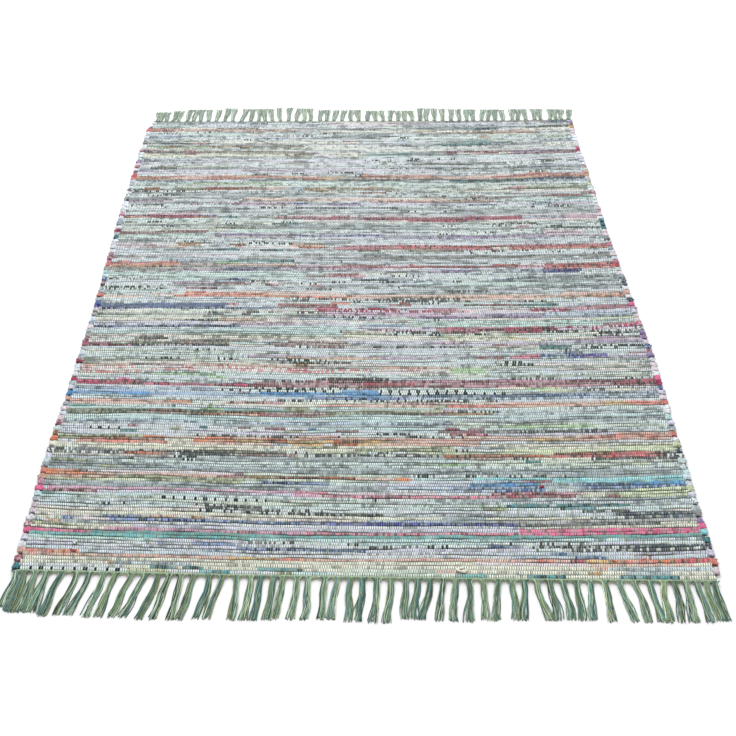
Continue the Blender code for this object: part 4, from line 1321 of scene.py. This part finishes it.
# Along a tassel: share of its length, share of its lean, and width against the knot's.
Stage = namedtuple("Stage", "along lean width")
STAGES = (
    Stage(0.08, 0.06, 1.00),
    Stage(0.20, 0.17, 1.05),
    Stage(0.34, 0.31, 1.12),
    Stage(0.50, 0.49, 1.20),
    Stage(0.66, 0.66, 1.30),
    Stage(0.82, 0.83, 1.40),
    Stage(0.975, 0.98, 1.50),
    Stage(1.00, 1.00, 1.51),
)
YARN_TONES = (
    (132, 155, 128), (112, 141, 118), (94, 134, 119), (102, 137, 140), (141, 152, 111),
    (185, 205, 180), (55, 77, 66), (138, 166, 143), (153, 172, 140), (84, 126, 121),
    (166, 188, 160), (78, 105, 92), (123, 135, 93),
)

# Tassels that lie together: how many, where the first and last are knotted, where their tips
# lie, how far those tips are from the weave, in millimetres, and how full the tassels are.
Clump = namedtuple("Clump", "tassels root last_root tip last_tip length full", defaults=(1.0,))
NEAR_CLUMPS = (
    Clump(1, -594, -594, -600, -600, 86, 1.5),
    Clump(3, -580, -541, -585, -553, 98, 2.0),
    Clump(1, -515, -515, -531, -531, 106, 1.2),
    Clump(2, -489, -468, -506, -488, 103),
    Clump(2, -443, -423, -456, -437, 107),
    Clump(2, -394, -371, -415, -397, 107),
    Clump(2, -348, -329, -369, -346, 110),
    Clump(2, -309, -287, -317, -302, 110),
    Clump(2, -260, -238, -273, -258, 107),
    Clump(1, -213, -213, -216, -216, 108),
    Clump(2, -188, -172, -197, -179, 108),
    Clump(2, -150, -134, -158, -145, 106),
    Clump(2, -110, -91, -118, -96, 105),
    Clump(2, -62, -41, -67, -51, 104),
    Clump(2, -19, 1, -22, -7, 108),
    Clump(2, 26, 49, 17, 40, 110),
    Clump(3, 74, 115, 71, 97, 100),
    Clump(3, 137, 181, 125, 176, 104),
    Clump(2, 205, 230, 202, 220, 100),
    Clump(2, 253, 273, 252, 264, 99),
    Clump(2, 295, 316, 308, 319, 98),
    Clump(3, 338, 384, 342, 378, 97),
    Clump(1, 408, 408, 408, 408, 100),
    Clump(3, 433, 483, 445, 489, 99),
    Clump(2, 506, 524, 501, 520, 99),
    Clump(2, 543, 562, 542, 567, 98),
    Clump(2, 577, 591, 583, 594, 94),
)
FAR_CLUMPS = (
    Clump(3, -594, -567, -594, -567, 78),
    Clump(2, -548, -530, -541, -527, 88),
    Clump(3, -505, -467, -500, -466, 97),
    Clump(1, -443, -443, -445, -445, 97),
    Clump(1, -420, -420, -418, -418, 97),
    Clump(2, -395, -372, -393, -374, 106),
    Clump(2, -347, -320, -338, -319, 101),
    Clump(3, -297, -256, -300, -266, 102),
    Clump(2, -232, -210, -242, -209, 110),
    Clump(3, -186, -147, -181, -150, 104),
    Clump(2, -117, -100, -116, -99, 92),
    Clump(2, -79, -55, -71, -50, 90),
    Clump(2, -28, -7, -27, -9, 93),
    Clump(2, 18, 43, 23, 39, 86),
    Clump(2, 63, 84, 60, 87, 88),
    Clump(3, 108, 147, 106, 146, 86),
    Clump(3, 169, 210, 173, 213, 102),
    Clump(1, 235, 235, 236, 236, 99),
    Clump(2, 259, 282, 263, 284, 96),
    Clump(2, 304, 322, 308, 323, 94),
    Clump(3, 345, 384, 355, 393, 93),
    Clump(1, 407, 407, 409, 409, 90),
    Clump(2, 433, 450, 441, 456, 94),
    Clump(1, 472, 472, 474, 474, 94),
    Clump(2, 498, 515, 501, 519, 96),
    Clump(2, 541, 560, 550, 565, 93),
    Clump(2, 576, 593, 582, 605, 92),
)


def yarn_material():
    """Two-ply cotton yarn with slanting plies and painted shade in the grooves between them."""
    material, tree, shader = cotton_material("warp_yarn", 0.85)
    around, along = read_layout(tree, "twist")
    turn = calc(tree, "MULTIPLY_ADD", around, 2.0, calc(tree, "MULTIPLY", along, 2.0))
    ply = calc(tree, "ABSOLUTE", calc(tree, "SUBTRACT", calc(tree, "FRACT", turn), 0.5))
    yarn = add_node(tree, "ShaderNodeVertexColor", layer_name="yarn_colour").outputs["Color"]
    # painted shade in the groove between the plies
    groove_shade = ease(tree, ply, GROOVE_START, 0.5, 0.0, GROOVE_SHADE)
    yarn = blend_colours(tree, groove_shade, yarn, GROOVE_SHADE_COLOUR)
    tree.links.new(yarn, shader.inputs["Base Color"])
    rounded = calc(tree, "SUBTRACT", 0.5, ply)
    raise_surface(tree, shader, rounded, strength=0.7, distance=0.0004)
    return material


def tassel_rows(clumps):
    """Every tassel of a fringe: its root, its tip and its length in metres, and its fullness."""
    rows = []
    for clump in clumps:
        for index in range(clump.tassels):
            share = index / max(1, clump.tassels - 1)
            root = clump.root + (clump.last_root - clump.root) * share
            tip = clump.tip + (clump.last_tip - clump.tip) * share
            rows.append((root * MM, tip * MM, clump.length * MM, clump.full))
    return rows


def lay_tubes(paths, radii):
    """A mesh of round tubes along paths; where a path's radius comes to nothing, its tube narrows to a
    point.
    """
    curve = bpy.data.curves.new("tubes", "CURVE")
    curve.dimensions = "3D"
    curve.bevel_depth = 1.0
    curve.bevel_resolution = TUBE_BEVEL
    for path, radius in zip(paths, radii):
        spline = curve.splines.new("POLY")
        spline.points.add(len(path) - 1)
        spline.points.foreach_set("co", np.column_stack([path, np.ones(len(path))]).ravel())
        spline.points.foreach_set("radius", radius)
    holder = add_object("tubes", curve)
    ready = holder.evaluated_get(bpy.context.evaluated_depsgraph_get())
    mesh = bpy.data.meshes.new_from_object(ready)
    bpy.data.objects.remove(holder)
    bpy.data.curves.remove(curve)
    return mesh


def shade_under(mesh, paths, halves, under):
    """How light the points of some tubes are, with painted shade making their undersides so much darker."""
    level = np.repeat(np.concatenate(paths)[:, 2], TUBE_SIDES)
    upward = (read_points(mesh)[:, 2] - level) / np.repeat(halves, TUBE_SIDES)
    return 1.0 - under * (1.0 - np.clip(upward, -1.0, 1.0)) / 2.0


def paint_tubes(mesh, paths, radii, colours, pitch, under, dice):
    """Give each tube its colour, with painted shade below, and coordinates round and along it for its
    twist.
    """
    rings = [len(path) for path in paths]
    tube = np.repeat(np.arange(len(paths)), np.array(rings) * TUBE_SIDES)
    spans = [np.linalg.norm(np.diff(path, axis=0), axis=1).cumsum() for path in paths]
    along = np.repeat(np.concatenate([np.append(0.0, span) for span in spans]) / pitch, TUBE_SIDES)
    around = np.tile(np.arange(TUBE_SIDES), sum(rings))

    # painted shade on the undersides of the yarns
    shade = shade_under(mesh, paths, np.maximum(np.concatenate(radii), 0.0001), under)
    # painted shade on the far yarns' knots, which lie in the cloth's shadow
    knot = np.concatenate([np.arange(ring) < len(FAN) for ring in rings])
    far = read_points(mesh)[:, 1] > 0.0
    shade = np.where(np.repeat(knot, TUBE_SIDES) & far, shade * KNOT_SHADE, shade)
    shade = shade * np.repeat(dice.uniform(*YARN_MOTTLE, sum(rings)), TUBE_SIDES)
    colour = np.ones((len(mesh.vertices), 4))
    colour[:, :3] = np.asarray(colours)[tube] * shade[:, None]
    paint_mesh(mesh, "yarn_colour", "POINT", colour)

    corners = read_corners(mesh)
    turn = around[corners].reshape(-1, 4).astype(float)
    closing = (turn.max(1) == TUBE_SIDES - 1) & (turn.min(1) == 0)
    turn = np.where(closing[:, None] & (turn == 0), TUBE_SIDES, turn).ravel() / TUBE_SIDES
    lay_out(mesh, "twist", turn, along[corners])


def weld(mesh):
    """Close the points where tubes narrow to nothing."""
    shell = bmesh.new()
    shell.from_mesh(mesh)
    bmesh.ops.remove_doubles(shell, verts=shell.verts[:], dist=0.000002)
    bmesh.ops.dissolve_degenerate(shell, edges=shell.edges[:], dist=0.000001)
    bmesh.ops.recalc_face_normals(shell, faces=shell.faces[:])
    shell.to_mesh(mesh)
    shell.free()
    mesh.shade_smooth()


def tassel_yarns(root, tip, length, full, end, dice):
    """The yarns of one tassel, as paths at the near or far end without its sign."""
    count = round(int(dice.choice(YARN_COUNTS)) * full)
    reach = length - FAN[-1].out + WEAVE_LENGTH / 2 - abs(end_line(root, end.outward))
    bend = dice.uniform(-TASSEL_BEND, TASSEL_BEND)
    wag = dice.uniform(-TASSEL_WAG, TASSEL_WAG)
    strays = int(dice.integers(1, 3)) if dice.uniform() < STRAY_SHARE else 0
    astray = dice.choice((-1.0, 1.0)) * dice.uniform(*STRAY_OFF)
    paths, radii = [], []
    for index in range(count):
        share = 2.0 * (index + dice.uniform(0.2, 0.8)) / count - 1.0
        layer = dice.uniform() if index % 2 else 0.0
        path = []
        for step in FAN:
            x = max(-HEADING_HALF, min(HEADING_HALF, root + FAN_HALF * share * step.fan))
            level = step.level - end.sink + layer * YARN_LAYER * (1.0 - abs(share))
            path.append((x, step.out, level))
        cut = reach * dice.uniform(*YARN_CUT)
        phase = dice.uniform(0.0, 6.3)
        lift = YARN_HALF * YARN_REST + layer * dice.uniform(*YARN_PILE)
        for stage in STAGES:
            lean = (tip - root) * stage.lean + bend * math.sin(math.pi * stage.along)
            lean += wag * math.sin(2.0 * math.pi * stage.along)
            if share * astray > 0 and (index < strays or index >= count - strays):
                lean += astray * stage.along ** 2
            wave = YARN_WAVE * math.sin(phase + WAVE_ROUND * stage.along)
            wave *= min(1.0, 3.0 * stage.along)
            fan = KNOT_HALF * stage.width * (1.0 + (full - 1.0 + end.flare) * stage.along)
            x = root + lean + share * fan + wave
            settle = max(0.0, 1.0 - stage.along / KNOT_REACH)
            drop = max(0.0, KNOT_DROP - end.sink / 2.0) * settle * settle
            path.append((x, FAN[-1].out + cut * stage.along, lift + drop))
        paths.append(np.array(path))
        radius = np.full(len(path), YARN_HALF) * dice.uniform(*YARN_SIZES)
        radius[0] = radius[-1] = 0.0
        radii.append(radius)
    return paths, radii


def corded_edge(roots, end):
    """Two plies twisted together along the whole edge, and the yarns that bind them."""
    half = WEAVE_WIDTH / 2
    x = np.arange(-half, half, CORD_TURN / CORD_STEPS)
    x = np.concatenate([[x[0] - BLUNT], x, [x[-1] + BLUNT]])
    paths, radii, tones = [], [], []
    for ply in (0.0, math.pi):
        angle = x / CORD_TURN * 2.0 * math.pi + ply
        y = CORD_PLACE + PLY_OFF * np.cos(angle)
        z = CORD_LEVEL - end.sink / 4.0 + PLY_OFF * np.sin(angle)
        paths.append(np.stack([x, y, z], -1))
        radii.append(np.full(len(x), PLY_HALF))
        tones.append(bare(YARN_TONES[0]))
    tassel = np.interp(x, roots, np.arange(len(roots)))
    for binder in BINDERS:
        dip = binder.dip * np.cos(2.0 * math.pi * tassel)
        rise = BINDER_RIPPLE * np.sin(RIPPLE_RATE * x + 40.0 * binder.out)
        level = np.maximum(binder.level - end.sink + rise, binder.half * 1.2)
        paths.append(np.stack([x, binder.out + dip, level], -1))
        radii.append(np.full(len(x), binder.half))
        tones.append(bare(binder.tone))
    for radius in radii:
        radius[0] = radius[-1] = 0.0
    return paths, radii, tones


def finish_yarns(part, end, paths, radii, colours, pitch, under, material, dice):
    """Turn yarn paths into one piece of a fringe."""
    paths = [path * (1.0, end.outward, 1.0) for path in paths]
    for path in paths:
        path[:, 1] += end_line(path[:, 0], path[:, 1])
    mesh = lay_tubes(paths, radii)
    paint_tubes(mesh, paths, radii, colours, pitch, under, dice)
    weld(mesh)
    mesh.name = f"{end.name}_{part}"
    piece = add_piece(mesh, material)
    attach(piece, "root")
    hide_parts(f"{end.name}_fringe")


def knot_fringe(end, clumps, material, dice):
    """A corded edge and its tassels at one end of the rug."""
    tassels = tassel_rows(clumps)
    paths, radii, colours = corded_edge([root for root, tip, length, full in tassels], end)
    finish_yarns("cord", end, paths, radii, colours, CORD_TURN, CORD_SHADE, material, dice)
    tones = bare(YARN_TONES)
    paths, radii, colours = [], [], []
    for root, tip, length, full in tassels:
        some_paths, some_radii = tassel_yarns(root, tip, length, full, end, dice)
        paths += some_paths
        radii += some_radii
        for yarn in some_paths:
            tone = tones[int(dice.integers(len(tones)))] * dice.uniform(*YARN_SHADES)
            colours.append(np.clip(tone + (bare(PALE_TONE) - tone) * end.pale, 0.0, 1.0))
    finish_yarns("tassels", end, paths, radii, colours, YARN_TWIST, UNDER_SHADE, material, dice)


warp_yarn = yarn_material()
knot_fringe(NEAR_END, NEAR_CLUMPS, warp_yarn, dice)
knot_fringe(FAR_END, FAR_CLUMPS, warp_yarn, dice)


# --- the loose rag ends ----------------------------------------------------------------------
# Where one torn rag runs out and the next begins, a few ends are left lying on top of the cloth
# as small curled tufts.

# A loose end: its middle, how long and wide its curl is, where on the curl it starts and how
# far round it goes, in degrees, half the rag's width, and the rag.
LooseEnd = namedtuple("LooseEnd", "x y long wide start sweep half rag")
LOOSE_ENDS = (
    LooseEnd(0.170, -0.890, 0.0150, 0.0085, 60, 340, 0.0026, "cream"),
    LooseEnd(-0.504, -0.836, 0.0050, 0.0040, 0, 300, 0.0024, "white"),
    LooseEnd(-0.505, -0.853, 0.0080, 0.0030, 190, 180, 0.0021, "red"),
    LooseEnd(0.388, -0.709, 0.0070, 0.0050, 90, 200, 0.0022, "white"),
    LooseEnd(0.332, -0.676, 0.0070, 0.0040, 40, 180, 0.0020, "crimson"),
    LooseEnd(0.432, -0.862, 0.0060, 0.0030, 150, 190, 0.0020, "coral"),
    LooseEnd(0.483, -0.860, 0.0080, 0.0040, 20, 190, 0.0020, "coral"),
)
END_STEPS = 12
END_LEVEL = 0.0066
END_CURL = 0.4               # how far they rise and fall, and how far they narrow and widen
END_WAIST = 0.25
END_LIGHT = 1.2
END_SHADE = 0.6              # how dark they are underneath: painted shade


def curl_ends(name, material):
    """The loose ends as one small piece."""
    paths, radii = [], []
    for loose in LOOSE_ENDS:
        angle = np.radians(loose.start + loose.sweep * np.linspace(0.0, 1.0, END_STEPS))
        x = loose.x + loose.long / 2 * np.cos(angle)
        y = loose.y + loose.wide / 2 * np.sin(angle)
        z = END_LEVEL + END_CURL * loose.half * (1.0 + np.sin(2.0 * angle))
        paths.append(np.stack([x, y, z], -1))
        radius = loose.half * (1.0 - END_WAIST * np.cos(3.0 * angle))
        radius[0] = radius[-1] = 0.0
        radii.append(radius)
    mesh = lay_tubes(paths, radii)
    halves = np.repeat([loose.half for loose in LOOSE_ENDS], END_STEPS)
    # painted shade on the undersides of the loose ends
    shade = shade_under(mesh, paths, halves, END_SHADE)
    cloth = bare([RAGS[loose.rag].cloth for loose in LOOSE_ENDS])
    cloth = np.repeat(cloth, END_STEPS * TUBE_SIDES, axis=0)
    colour = np.ones((len(mesh.vertices), 4))
    colour[:, :3] = np.clip(END_LIGHT * cloth * shade[:, None], 0.0, 1.0)
    paint_mesh(mesh, "rag_colour", "POINT", colour)
    weld(mesh)
    mesh.name = name
    ends = add_piece(mesh, material)
    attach(ends, "root")
    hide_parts("woven_field")


curl_ends("rag_ends", rag_turn)
